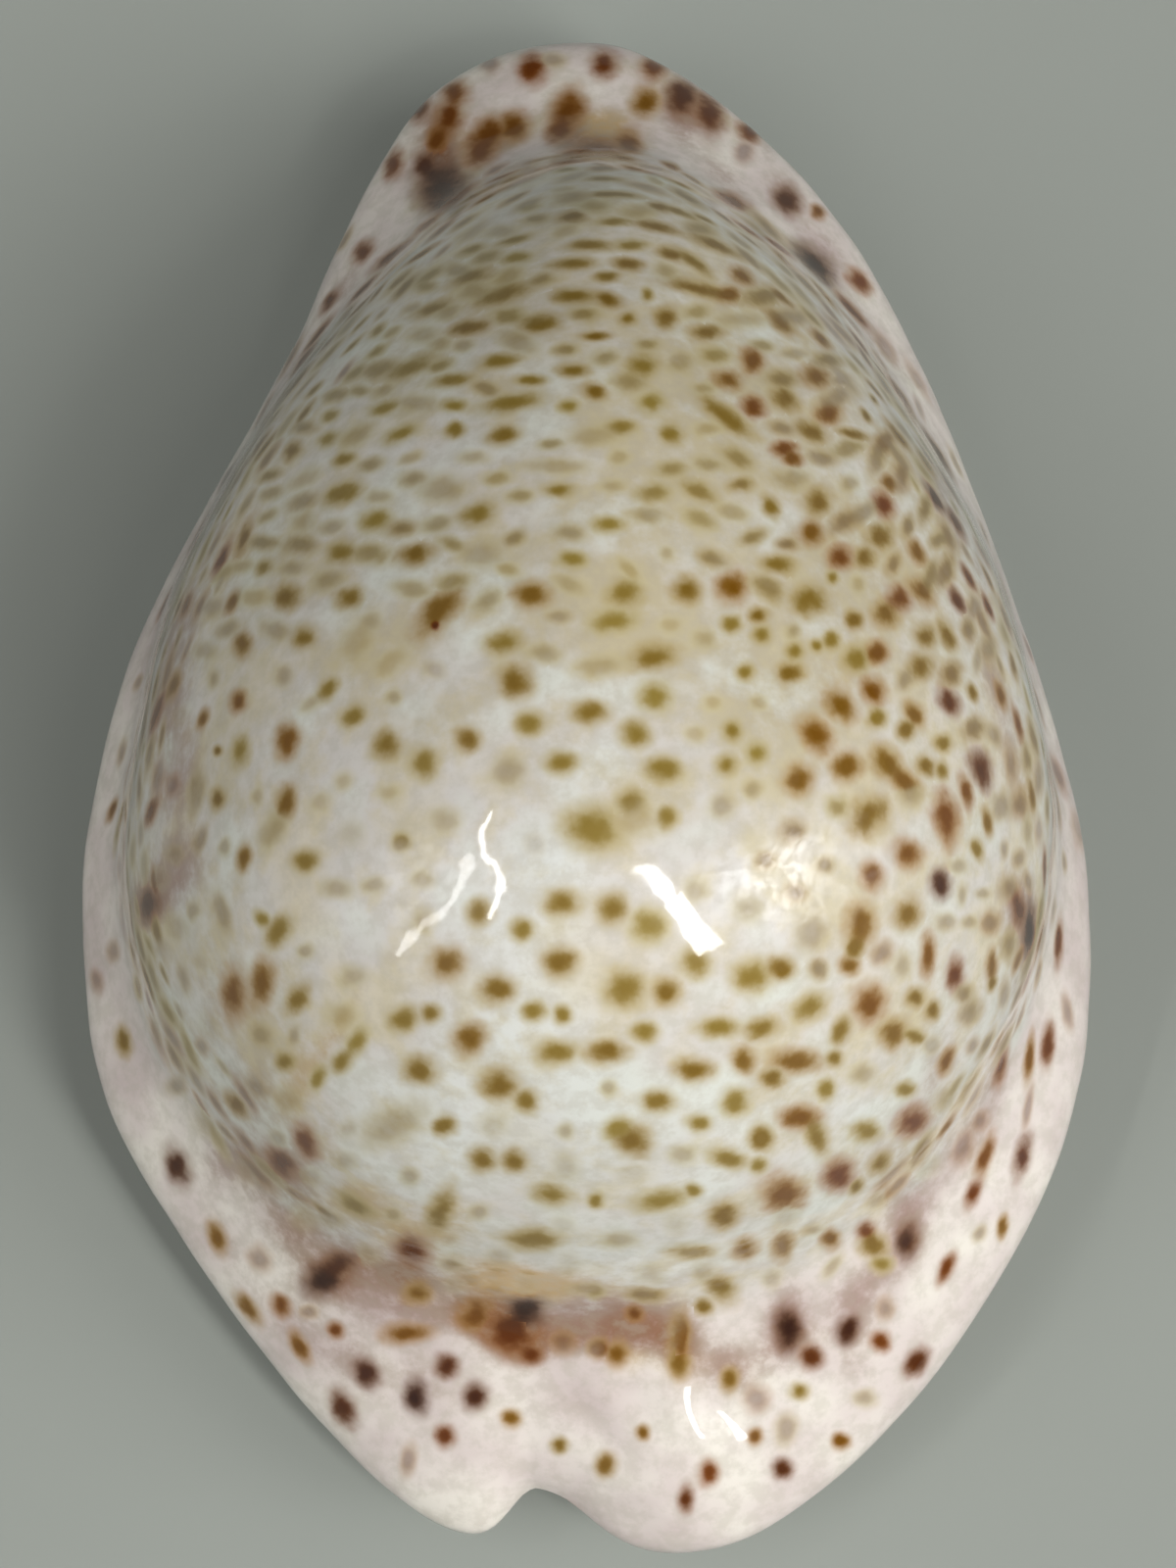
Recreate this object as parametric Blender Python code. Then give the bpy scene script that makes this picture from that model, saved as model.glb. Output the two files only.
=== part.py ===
"""Cowrie shell: one hollow shell, closed all round but for the toothed slit along its base.

Metres, +Z up. +Y points to the front (narrow) end and +X to the outer lip. The origin is on the
surface that the shell lies on, under the middle of its outline.

The surface is one loft. It starts at the crown, runs down the dome, over the ledge and the thick
margin, in under the base to the slit, through the slit, and up the wall of the hollow to a point
under the crown. Each section of the loft is a closed loop round the shell.
"""
import bpy
import numpy as np

NAME = "cowrie_shell"

# Driving dimensions, in metres
LENGTH = 0.0380
WIDTH = 0.0247
HEIGHT = 0.0191

# The loft is laid out in millimetres and then brought to the driving dimensions exactly
CROWN = np.array([-0.2, -5.0, 19.2])
DOME_FULLNESS = 2.1
WALL_AT_CROWN = 1.5
HOLLOW_SHARE = 0.84

# Outline of the margin seen from above, anticlockwise from the outer lip, every 22.5 degrees
MARGIN = [
    (12.1, -2.0), (10.4, 4.2), (8.2, 10.4), (4.9, 15.7),
    (0.4, 18.6), (-4.4, 17.1), (-7.1, 11.4), (-10.6, 4.4),
    (-12.5, -2.2), (-11.6, -9.2), (-7.9, -14.8), (-4.0, -18.7),
    (0.0, -19.4), (4.2, -19.0), (8.9, -14.6), (11.8, -8.9),
]
# Foot of the dome, where the ledge begins, every 30 degrees
DOME_FOOT = [
    (11.2, -3.0), (9.7, 4.3), (5.4, 11.3),
    (0.0, 14.5), (-5.4, 11.2), (-9.9, 4.3),
    (-11.4, -3.2), (-9.8, -8.9), (-5.6, -12.9),
    (-0.2, -14.2), (5.0, -13.0), (9.4, -8.9),
]

# Notches where the slit runs out at the ends: direction in degrees, and reach to either side
BACK_NOTCH = (263.0, 9.0, 5.0)
FRONT_NOTCH = (88.0, 7.0, 7.0)
BACK_NOTCH_DEPTH = 1.5
NOTCH_RISE = 2.2
BASE_RISE_AT_ENDS = 0.5

# Slit: its ends, its line across the base at mid length and its half width
SLIT_BACK, SLIT_FRONT = -16.4, 16.2
SLIT_LINE = 1.2
SLIT_HALF_WIDTH = 1.1

# Teeth: one ridge on every third column, with their reach onto the base on either side
COLUMNS = 126
TEETH_ROUND = COLUMNS // 3
OUTER_TEETH_REACH = 3.4
INNER_TEETH_REACH = 1.9
RIDGE_HEIGHT = 0.2
GROOVE_DEPTH = 0.35

COLOUR = (0.61, 0.57, 0.5, 1.0)
ROUGHNESS = 0.15


def around(stations, angle):
    """A smooth closed curve through evenly spaced stations: a periodic cubic spline."""
    count = len(stations)
    matrix = 4 * np.eye(count) + np.roll(np.eye(count), 1, 0) + np.roll(np.eye(count), -1, 0)
    control = np.linalg.solve(matrix / 6, np.asarray(stations, float))
    place = (angle / (2 * np.pi)) % 1.0 * count
    cell = np.floor(place).astype(int)
    weights = cubic_weights(place - cell)
    return sum(w[:, None] * control[(cell + k - 1) % count] for k, w in enumerate(weights))


def cubic_weights(f):
    """The four weights of a uniform cubic B-spline at the share f of a span."""
    return ((1 - f) ** 3 / 6,
            (3 * f**3 - 6 * f**2 + 4) / 6,
            (-3 * f**3 + 3 * f**2 + 3 * f + 1) / 6,
            f**3 / 6)


def smooth_step(low, high, value):
    """0 below low and 1 above high, with a smooth rise between."""
    share = np.clip((value - low) / (high - low), 0, 1)
    return share * share * (3 - 2 * share)


def notch(angle, shape):
    """1 in the notch's direction, falling off smoothly within its reach to either side."""
    centre, after, before = np.radians(shape)
    turn = (angle - centre + np.pi) % (2 * np.pi) - np.pi
    return np.exp(-(turn / np.where(turn > 0, after, before)) ** 2)


def loop(xy, z):
    """One section of the loft: a row of points from its plan and its height."""
    return np.column_stack([xy, np.broadcast_to(z, len(xy))])


def dome_loops(foot, foot_z, last, crown, shares):
    """Sections of a dome down to its foot: in every direction a superellipse, left at the angle last."""
    rows = []
    power = 2 / DOME_FULLNESS
    lowest = np.cos(last) ** power
    for share in shares:
        out = (np.sin(share * last) / np.sin(last)) ** power
        up = (np.cos(share * last) ** power - lowest) / (1 - lowest)
        xy = crown[:2] + (foot - crown[:2]) * out[:, None]
        rows.append(loop(xy, foot_z + (crown[2] - foot_z) * up))
    rows[0][:, 2] = rows[0][:, 2].mean()
    return rows


def slit_outline(angle):
    """The slit's edge seen from above: long, narrow, and curved towards the inner side behind."""
    across, along = np.cos(angle), np.sin(angle)
    y = (SLIT_FRONT + SLIT_BACK) / 2 + (SLIT_FRONT - SLIT_BACK) / 2 * along
    line = SLIT_LINE - 2.5 * np.clip(-along, 0, 1) ** 3 - 0.7 * np.clip(along, 0, 1) ** 2
    half = SLIT_HALF_WIDTH + 0.25 * along
    x = line + half * np.sign(across) * np.abs(across) ** 0.45
    return np.column_stack([x, y])


def sections(angle):
    """All sections of the loft in order, and the place in that order of the slit's edge."""
    side, end = np.cos(angle), np.sin(angle)
    foot = around(DOME_FOOT, angle)
    margin = around(MARGIN, angle)
    back, front = notch(angle, BACK_NOTCH), notch(angle, FRONT_NOTCH)
    arch = NOTCH_RISE * np.maximum(back, front)
    lift = arch + BASE_RISE_AT_ENDS * smooth_step(0.75, 1.0, np.abs(end))
    foot_z = 6.4 + 0.3 * side + 1.0 * end**2 + 0.2 * end
    margin_z = 3.6 + 0.2 * side + 0.5 * end
    top_z = margin_z + 1.0
    last = np.radians(80 - 12 * end**2)

    rows = dome_loops(foot, foot_z, last, CROWN, (0.16, 0.32, 0.48, 0.63, 0.77, 0.9))
    rows.append(loop(foot, foot_z))

    ledge = margin - foot
    cut = np.column_stack([0 * back, BACK_NOTCH_DEPTH * back])
    rows.append(loop(foot + 0.4 * ledge + 0.1 * cut, top_z + 0.42 * (foot_z - top_z)))
    rows.append(loop(foot + 0.86 * ledge + 0.6 * cut, top_z))
    margin = margin + cut
    rows.append(loop(margin * 1.015, margin_z))

    slit = slit_outline(angle)
    for share, z in ((0.04, 1.5), (0.17, 0.3), (0.34, 0), (0.5, 0), (0.64, 0), (0.77, 0),
                     (0.89, 0.12), (0.97, 0.45)):
        rows.append(loop(margin + (slit - margin) * share, z + lift))
    slit_place = len(rows)
    rows.append(loop(slit, 1.4 + 0.65 * arch))

    middle = np.array([0.2, -1.0])
    hollow = middle + (foot - middle) * HOLLOW_SHARE
    rows.append(loop(slit + (middle - slit) * [0, 0.01], 2.5 + 0.5 * arch))
    rows.append(loop(slit + (hollow - slit) * 0.3, 3.4 + 0.2 * arch))
    rows.append(loop(slit + (hollow - slit) * 0.85, 3.7))
    rows.append(loop(hollow, 5.6))
    ceiling = CROWN - [0, 0, WALL_AT_CROWN]
    inner = dome_loops(hollow, foot_z, last, ceiling, (0.2, 0.4, 0.58, 0.75, 0.9))
    return rows, inner[::-1], ceiling, slit_place


def loft(columns, steps):
    """The whole surface as rows of points: steps holds each row's place along the sections."""
    turn = np.arange(columns) / columns * 2 * np.pi
    angle = turn - 0.15 * np.sin(2 * turn)
    rows, inner, ceiling, slit_place = sections(angle)
    flipped = [2, 2, 0]
    first, last = rows[0], inner[-1]
    control = [first * [-1, -1, 1] + CROWN * flipped, np.tile(CROWN, (columns, 1))]
    control += rows + inner
    control += [np.tile(ceiling, (columns, 1)), last * [-1, -1, 1] + ceiling * flipped]
    control = np.array(control)

    span = np.clip(np.floor(steps).astype(int), 0, len(control) - 4)
    weights = cubic_weights(steps - span)
    grid = sum(w[:, None, None] * control[span + k] for k, w in enumerate(weights))
    return cut_teeth(grid, turn, angle, steps - slit_place - 1), turn


def cut_teeth(grid, turn, angle, past_slit):
    """Ridges and grooves across both lips, square to the slit, moved along the surface's normal."""
    round_shell = np.roll(grid, -1, 1) - np.roll(grid, 1, 1)
    normal = np.cross(np.gradient(grid, axis=0), round_shell)
    normal /= np.linalg.norm(normal, axis=2, keepdims=True) + 1e-9
    edge = slit_outline(angle)
    distance = np.linalg.norm(grid[:, :, :2] - edge, axis=2)
    on_outer_lip = smooth_step(-0.1, 0.1, np.cos(angle))
    reach = INNER_TEETH_REACH + (OUTER_TEETH_REACH - INNER_TEETH_REACH) * on_outer_lip
    on_base = 1 - smooth_step(0.35, 1.0, distance / reach)
    in_throat = 1 - smooth_step(0.3, 1.8, past_slit)[:, None]
    near_slit = np.where(past_slit[:, None] < 0, on_base, in_throat)
    near_slit *= smooth_step(-7.5, -6.0, past_slit)[:, None]
    along_sides = 1 - smooth_step(0.88, 0.97, np.abs(np.sin(angle)))
    ridge = 0.5 + 0.5 * np.cos(TEETH_ROUND * turn)
    shift = near_slit * along_sides * ((RIDGE_HEIGHT + GROOVE_DEPTH) * ridge - GROOVE_DEPTH)
    return grid + normal * shift[:, :, None]


def to_size(grid):
    """Brings the points to the driving dimensions, standing on z = 0 and centred over the origin."""
    points = grid.copy()
    points[:, :, 2] = np.maximum(points[:, :, 2], 0)
    low, high = points.min(axis=(0, 1)), points.max(axis=(0, 1))
    middle = np.array([(low[0] + high[0]) / 2, (low[1] + high[1]) / 2, low[2]])
    return (points - middle) * np.array([LENGTH * WIDTH / LENGTH, LENGTH, HEIGHT]) / (high - low)


def row_steps():
    """Where the rows lie along the sections: close together at the margin, the lips and the throat."""
    stretches = ((0.0, 7.0, 9), (7.0, 10.0, 5), (10.0, 12.0, 4), (12.0, 15.0, 3),
                 (15.0, 20.0, 9), (20.0, 23.0, 3), (23.0, 29.0, 6))
    parts = [np.linspace(low, high, count, endpoint=False) for low, high, count in stretches]
    return np.append(np.concatenate(parts), stretches[-1][1])


def make_shell():
    """The shell's mesh: a point at the crown, rings of four-sided faces, and a point in the hollow."""
    grid, _ = loft(COLUMNS, row_steps())
    grid = to_size(grid)
    crown, ceiling = grid[0].mean(axis=0), grid[-1].mean(axis=0)
    rings = grid[1:-1]
    points = np.vstack([crown, rings.reshape(-1, 3), ceiling])

    after = np.roll(np.arange(COLUMNS), -1)
    faces = [(0, 1 + i, 1 + after[i]) for i in range(COLUMNS)]
    for ring in range(len(rings) - 1):
        upper, lower = 1 + ring * COLUMNS, 1 + (ring + 1) * COLUMNS
        faces += [(upper + i, lower + i, lower + after[i], upper + after[i]) for i in range(COLUMNS)]
    start, end = 1 + (len(rings) - 1) * COLUMNS, len(points) - 1
    faces += [(start + after[i], start + i, end) for i in range(COLUMNS)]

    mesh = bpy.data.meshes.new(NAME)
    mesh.from_pydata(points.tolist(), [], [tuple(int(i) for i in face) for face in faces])
    mesh.update()
    mesh.shade_smooth()
    return mesh


def make_material():
    """Glossy enamel, in the mean colour of the shell."""
    material = bpy.data.materials.new("enamel")
    material.use_nodes = True
    shader = material.node_tree.nodes["Principled BSDF"]
    shader.inputs["Base Color"].default_value = COLOUR
    shader.inputs["Roughness"].default_value = ROUGHNESS
    shader.inputs["Metallic"].default_value = 0.0
    return material


def main():
    for old in list(bpy.data.objects):
        bpy.data.objects.remove(old, do_unlink=True)
    collection = bpy.data.collections.new(NAME)
    bpy.context.scene.collection.children.link(collection)
    shell = bpy.data.objects.new(NAME, make_shell())
    shell.data.materials.append(make_material())
    collection.objects.link(shell)


main()
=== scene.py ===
"""A cowrie shell on a pale surface: fine shell mesh, speckled enamel, soft light and camera."""

import bpy
import numpy as np
from mathutils import Matrix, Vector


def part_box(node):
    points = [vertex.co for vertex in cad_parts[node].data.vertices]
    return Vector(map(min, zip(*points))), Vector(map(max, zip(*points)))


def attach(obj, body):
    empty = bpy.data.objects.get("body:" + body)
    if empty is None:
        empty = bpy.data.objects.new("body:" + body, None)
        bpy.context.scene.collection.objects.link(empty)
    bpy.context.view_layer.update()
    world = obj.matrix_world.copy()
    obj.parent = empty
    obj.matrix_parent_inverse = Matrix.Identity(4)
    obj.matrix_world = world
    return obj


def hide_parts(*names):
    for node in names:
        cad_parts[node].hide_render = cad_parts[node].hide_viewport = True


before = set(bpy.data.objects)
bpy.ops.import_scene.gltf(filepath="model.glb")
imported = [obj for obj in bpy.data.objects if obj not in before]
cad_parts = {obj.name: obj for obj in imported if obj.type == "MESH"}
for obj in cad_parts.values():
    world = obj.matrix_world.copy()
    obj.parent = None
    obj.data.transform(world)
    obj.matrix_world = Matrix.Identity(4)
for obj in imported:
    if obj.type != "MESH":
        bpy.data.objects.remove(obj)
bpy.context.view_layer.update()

SHELL_LOW, SHELL_HIGH = (np.array(corner, float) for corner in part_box("cowrie_shell"))
MM = 0.001

# The photograph's frame, and the camera that fits the shell's outline in it
PHOTO_WIDTH, PHOTO_HEIGHT = 1200, 1600
CAMERA_ELEVATION = 77.0
CAMERA_DISTANCE = 0.100
CAMERA_AIM = np.array([0.0, 0.0, 0.006])
AIM_IN_PHOTO = (597.0, 763.0)
FOCAL_PX = 4225.0
SENSOR_MM = 36.0

# The shell is laid out in millimetres, then brought to the frame's box
CROWN = np.array([-0.2, -5.0, 19.2])
DOME_FULLNESS = 2.1
WALL_AT_CROWN = 1.5
HOLLOW_SHARE = 0.84
MARGIN = [
    (12.1, -2.0), (10.4, 4.2), (8.2, 10.4), (4.9, 15.7),
    (0.4, 18.6), (-4.4, 17.1), (-7.1, 11.4), (-10.6, 4.4),
    (-12.5, -2.2), (-11.6, -9.2), (-7.9, -14.8), (-4.0, -18.7),
    (0.0, -19.4), (4.2, -19.0), (8.9, -14.6), (11.8, -8.9),
]
DOME_FOOT = [
    (11.2, -3.0), (9.7, 4.3), (5.4, 11.3),
    (0.0, 14.5), (-5.4, 11.2), (-9.9, 4.3),
    (-11.4, -3.2), (-9.8, -8.9), (-5.6, -12.9),
    (-0.2, -14.2), (5.0, -13.0), (9.4, -8.9),
]
FOOT_HEIGHT, MARGIN_HEIGHT = 6.4, 3.6
LEDGE_ABOVE_MARGIN = 1.0
DOME_SHARES = (0.16, 0.32, 0.48, 0.63, 0.77, 0.9)
CEILING_SHARES = (0.2, 0.4, 0.58, 0.75, 0.9)

# The base from the margin to the slit: the share of the way, and the height
BASE_PROFILE = (
    (0.04, 1.5), (0.17, 0.3), (0.34, 0), (0.5, 0), (0.64, 0), (0.77, 0), (0.89, 0.12), (0.97, 0.45),
)
HOLLOW_MIDDLE = np.array([0.2, -1.0])

# Each notch's direction and its reach to either side, in degrees
BACK_NOTCH = (263.0, 9.0, 5.0)
FRONT_NOTCH = (88.0, 7.0, 7.0)
BACK_NOTCH_DEPTH = 1.5
NOTCH_RISE = 2.2
BASE_RISE_AT_ENDS = 0.5
SLIT_BACK, SLIT_FRONT = -16.4, 16.2
SLIT_LINE = 1.2
SLIT_HALF_WIDTH = 1.1
SLIT_FLARE = 0.25
SLIT_BEND_BACK, SLIT_BEND_FRONT = 2.5, 0.7
SLIT_END_POWER = 0.45
TEETH_ROUND = 42
OUTER_TEETH_REACH = 3.4
INNER_TEETH_REACH = 1.9
RIDGE_HEIGHT = 0.2
GROOVE_DEPTH = 0.35

# Most of the room's light comes over the back end, and some from the left
KEY_DIRECTION = (-0.2, -0.65, 0.73)
FILL_DIRECTION = (-0.92, -0.1, 0.38)
DIM_ROOM, KEY_BRIGHTNESS, FILL_BRIGHTNESS = 0.05, 0.275, 0.25
ROOM_COLOUR = (0.98, 0.99, 1.0, 1)

# Where the back ledge is lumpy, in the photograph's pixels
LUMPS_X, LUMPS_Y, LUMPS_REACH = 665, 1455, 80

# Low swellings there: x, y and reach in those pixels, and height in millimetres
SWELLINGS = [(685, 1495, 68, 0.45), (556, 1490, 34, 0.2)]

# Highlights, in the photograph's pixels: where each streak starts and ends, its width and radiance
GLINTS = [
    (512, 835, 508, 955, 8, 28.0), (498, 872, 418, 974, 7, 11.0),
    (664, 888, 694, 930, 12, 26.0), (684, 915, 722, 970, 26, 26.0),
]

# Soft glows: the middle, the reach to the side and down, and the radiance
ROOM_GLOWS = [((795, 893), 56, 48, 17.0), ((440, 895), 38, 50, 4.0)]

# The outside ends at this step of the loft's sections
LAST_OUTER_STEP = 13.0

# A vertex counts as seen in the photograph from this cosine to the camera on
BARELY_FACING = 0.08

# Shares of a mark's size that its own coordinates take as 1, and the slope from which a mark is
# kept from growing longer down the surface
LENGTH_SHARE, THICKNESS_SHARE = 0.55, 0.6
STEEP_FACING = 0.45
FAINT_STRENGTH = 0.6

# Random marks: how many places are tried where the photograph hides the shell, and where it shows it
HIDDEN_TRIES, SHOWN_TRIES = 9000, 12000

# How far from its centre a mark is looked for, and the distances in a mark's own coordinates past
# which it doesn't show
MARK_REACH = 2.6 * MM
LAST_SHOWN, NOT_SHOWN = 3.5, 4.0
CROWDING_RADIUS = 0.8 * MM

# Lamps hang this far from the shell, and a mirror's normal is a mean over this many pixels
LAMP_DISTANCE = 0.5
MIRROR_PIXELS = 9

# The grid: columns round the shell, and stretches of rows along the loft's sections
COLUMNS = 504
CLOSER_AT_SIDES = 0.15
ROW_STRETCHES = (
    (0.0, 7.0, 88), (7.0, 10.0, 30), (10.0, 16.0, 20), (16.0, 21.0, 26), (21.0, 29.0, 22),
)

# Marks read off zoomed views of the photograph, in its pixels: x, y, length, thickness,
# tilt in degrees (up to the right is positive) and tone in hundredths, from 20 for tan over 35 for
# olive, 50 for brown and 70 for red-brown to 100 for black-brown
FRONT_LEDGE_SPOTS = [
    (543, 69, 28, 26, 0, 75), (617, 64, 25, 24, 0, 80), (667, 68, 26, 22, 80, 74),
    (464, 94, 24, 22, 0, 71), (428, 111, 26, 18, 80, 82), (458, 120, 36, 24, 80, 72),
    (446, 142, 28, 18, 70, 70), (500, 136, 32, 26, 70, 69), (525, 130, 28, 26, 0, 67),
    (489, 153, 36, 28, 60, 71), (580, 112, 40, 27, 70, 69), (571, 132, 30, 22, 60, 71),
    (608, 152, 48, 22, 0, 72), (641, 147, 26, 24, 0, 69), (659, 104, 28, 24, 60, 61),
    (696, 97, 33, 28, 80, 90), (724, 115, 44, 23, -75, 85), (764, 134, 24, 18, -40, 78),
    (401, 167, 28, 18, 75, 78), (451, 192, 54, 42, -70, 97), (434, 169, 26, 20, -60, 90),
    (436, 229, 34, 13, 35, 72), (746, 205, 38, 20, -10, 74), (803, 204, 28, 23, -60, 92),
    (835, 216, 16, 13, -40, 69), (831, 270, 50, 26, -42, 100), (795, 252, 32, 10, -30, 80),
    (877, 287, 28, 17, -45, 75), (370, 257, 26, 15, 50, 80), (336, 307, 26, 12, 50, 85),
]
UPPER_DOME_SPOTS = [
    (401, 260, 50, 14, 30, 80), (429, 260, 40, 8, 25, 60), (481, 255, 28, 12, 15, 40),
    (524, 245, 36, 9, 12, 40), (527, 263, 34, 11, 8, 35), (602, 250, 44, 10, 0, 45),
    (643, 250, 30, 10, 0, 40), (481, 282, 42, 15, 15, 45), (584, 269, 46, 11, 3, 45),
    (640, 269, 28, 12, -5, 50), (620, 282, 24, 10, 0, 45), (514, 300, 60, 16, 18, 45),
    (584, 302, 44, 13, 0, 45), (621, 306, 28, 13, -15, 50), (440, 315, 40, 14, 15, 45),
    (413, 293, 34, 14, 50, 50), (370, 296, 36, 12, 40, 80), (366, 314, 30, 8, 40, 60),
    (551, 330, 42, 17, 8, 45), (478, 334, 40, 14, 12, 50), (640, 325, 18, 12, 0, 45),
    (608, 343, 26, 8, 0, 50), (360, 352, 28, 8, 40, 45), (385, 337, 20, 12, 40, 40),
    (384, 359, 24, 11, 35, 35), (324, 342, 40, 10, 50, 80), (311, 365, 36, 14, 50, 80),
    (510, 368, 40, 13, 8, 40), (584, 378, 30, 12, 0, 45), (418, 375, 50, 15, 25, 40),
    (459, 388, 40, 13, 10, 40), (542, 388, 28, 10, 0, 40), (301, 391, 40, 12, 50, 60),
    (320, 398, 22, 10, 40, 45), (606, 400, 22, 14, -5, 50), (520, 411, 60, 16, 10, 40),
    (393, 416, 32, 12, 22, 35), (464, 413, 28, 12, 0, 35), (580, 415, 20, 12, 0, 35),
    (311, 421, 30, 10, 55, 50), (337, 424, 20, 12, 30, 35), (633, 436, 26, 14, 0, 40),
    (408, 443, 34, 13, 25, 35), (463, 439, 20, 14, 20, 40), (514, 444, 32, 16, 10, 45),
    (335, 448, 24, 13, 30, 35), (298, 459, 22, 16, 45, 50), (351, 468, 22, 12, 20, 40),
    (349, 503, 40, 18, 25, 40), (570, 500, 28, 12, 0, 40), (487, 524, 36, 20, 20, 40),
    (383, 531, 30, 20, 20, 35), (620, 535, 30, 14, 0, 35), (578, 173, 24, 8, 0, 40),
    (616, 182, 36, 9, 0, 45), (685, 170, 18, 12, -40, 60), (707, 183, 24, 8, -40, 55),
    (627, 198, 52, 9, 0, 45), (583, 221, 26, 14, 5, 50), (672, 211, 24, 12, -10, 50),
    (693, 216, 40, 8, -20, 45), (718, 223, 28, 7, -25, 45), (627, 226, 34, 8, 0, 40),
    (670, 231, 44, 10, -12, 50), (729, 249, 60, 12, -20, 50), (762, 234, 32, 8, -28, 70),
    (685, 259, 26, 11, -15, 50), (708, 267, 40, 10, -35, 45), (758, 282, 26, 16, -25, 60),
    (797, 303, 34, 11, -35, 55), (660, 300, 12, 12, 0, 40), (716, 295, 76, 12, -15, 50),
    (744, 300, 26, 15, 0, 60), (680, 323, 22, 20, -30, 50), (797, 328, 34, 16, -40, 55),
    (720, 339, 30, 15, 0, 50), (869, 316, 44, 12, -45, 80), (838, 346, 28, 14, -50, 60),
    (877, 349, 30, 10, -55, 75), (655, 373, 30, 22, 0, 40), (768, 367, 22, 22, 0, 65),
    (743, 387, 26, 16, -10, 60), (833, 384, 30, 22, 0, 60), (769, 415, 24, 18, -25, 70),
    (801, 407, 30, 18, -35, 50), (665, 412, 24, 18, 0, 35), (741, 425, 56, 16, -35, 45),
    (846, 421, 22, 24, -50, 65), (884, 424, 16, 9, -60, 50), (892, 408, 12, 8, -50, 50),
    (871, 443, 30, 9, -15, 50), (920, 405, 50, 14, -55, 80), (685, 443, 26, 18, -20, 40),
    (828, 440, 36, 16, -30, 50), (917, 445, 36, 14, -50, 55), (800, 458, 24, 14, 0, 70),
]
RIGHT_SPOTS = [
    (958, 463, 50, 14, -55, 90), (808, 468, 22, 14, -25, 65), (901, 515, 26, 18, -55, 75),
    (834, 511, 26, 26, 0, 50), (908, 493, 20, 14, -50, 60), (954, 508, 34, 14, -60, 95),
    (975, 532, 34, 14, -55, 90), (787, 517, 24, 14, -60, 45), (898, 548, 26, 24, 0, 50),
    (828, 543, 26, 22, -20, 60), (858, 569, 24, 20, -30, 70), (882, 569, 20, 18, -50, 50),
    (936, 563, 28, 13, -60, 60), (793, 576, 32, 16, -5, 45), (988, 589, 30, 10, -60, 80),
    (849, 589, 12, 12, 0, 40), (941, 604, 30, 18, -55, 60), (977, 613, 28, 12, -60, 85),
    (1008, 619, 26, 10, -65, 80), (826, 613, 36, 27, 0, 45), (917, 611, 26, 20, -50, 70),
    (904, 626, 26, 22, -50, 55), (872, 633, 18, 16, 0, 50), (967, 649, 30, 14, -65, 50),
    (945, 650, 24, 18, -60, 50), (895, 666, 22, 21, 0, 65), (874, 672, 26, 24, 0, 40),
    (940, 680, 26, 22, -40, 50), (992, 706, 20, 9, -70, 50), (969, 716, 28, 16, -60, 85),
    (1021, 709, 26, 12, -70, 65), (1039, 739, 36, 10, -75, 70), (1001, 785, 38, 18, -75, 88),
    (986, 808, 32, 11, -78, 68), (966, 834, 50, 21, -82, 70), (1008, 839, 26, 10, -80, 55),
    (1053, 813, 36, 10, -78, 55), (997, 867, 22, 11, -75, 45), (1066, 886, 38, 9, -80, 75),
    (960, 902, 28, 18, 88, 95), (1051, 951, 54, 19, -82, 100), (1040, 928, 40, 18, -68, 85),
    (1080, 962, 44, 9, 86, 80), (947, 975, 40, 14, 86, 65), (975, 995, 32, 15, 85, 80),
    (1012, 986, 30, 12, -85, 60), (966, 1082, 28, 13, 72, 65), (1069, 1067, 42, 11, 84, 80),
    (1050, 1080, 44, 8, 83, 65), (1021, 1089, 34, 13, 80, 75), (1043, 1181, 40, 14, 76, 88),
    (1005, 1180, 40, 12, 72, 70), (993, 1217, 28, 12, 68, 78), (1012, 1004, 16, 10, 80, 50),
    (962, 759, 18, 15, 0, 45), (945, 782, 22, 16, -60, 50), (961, 786, 20, 11, -80, 45),
]
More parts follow.
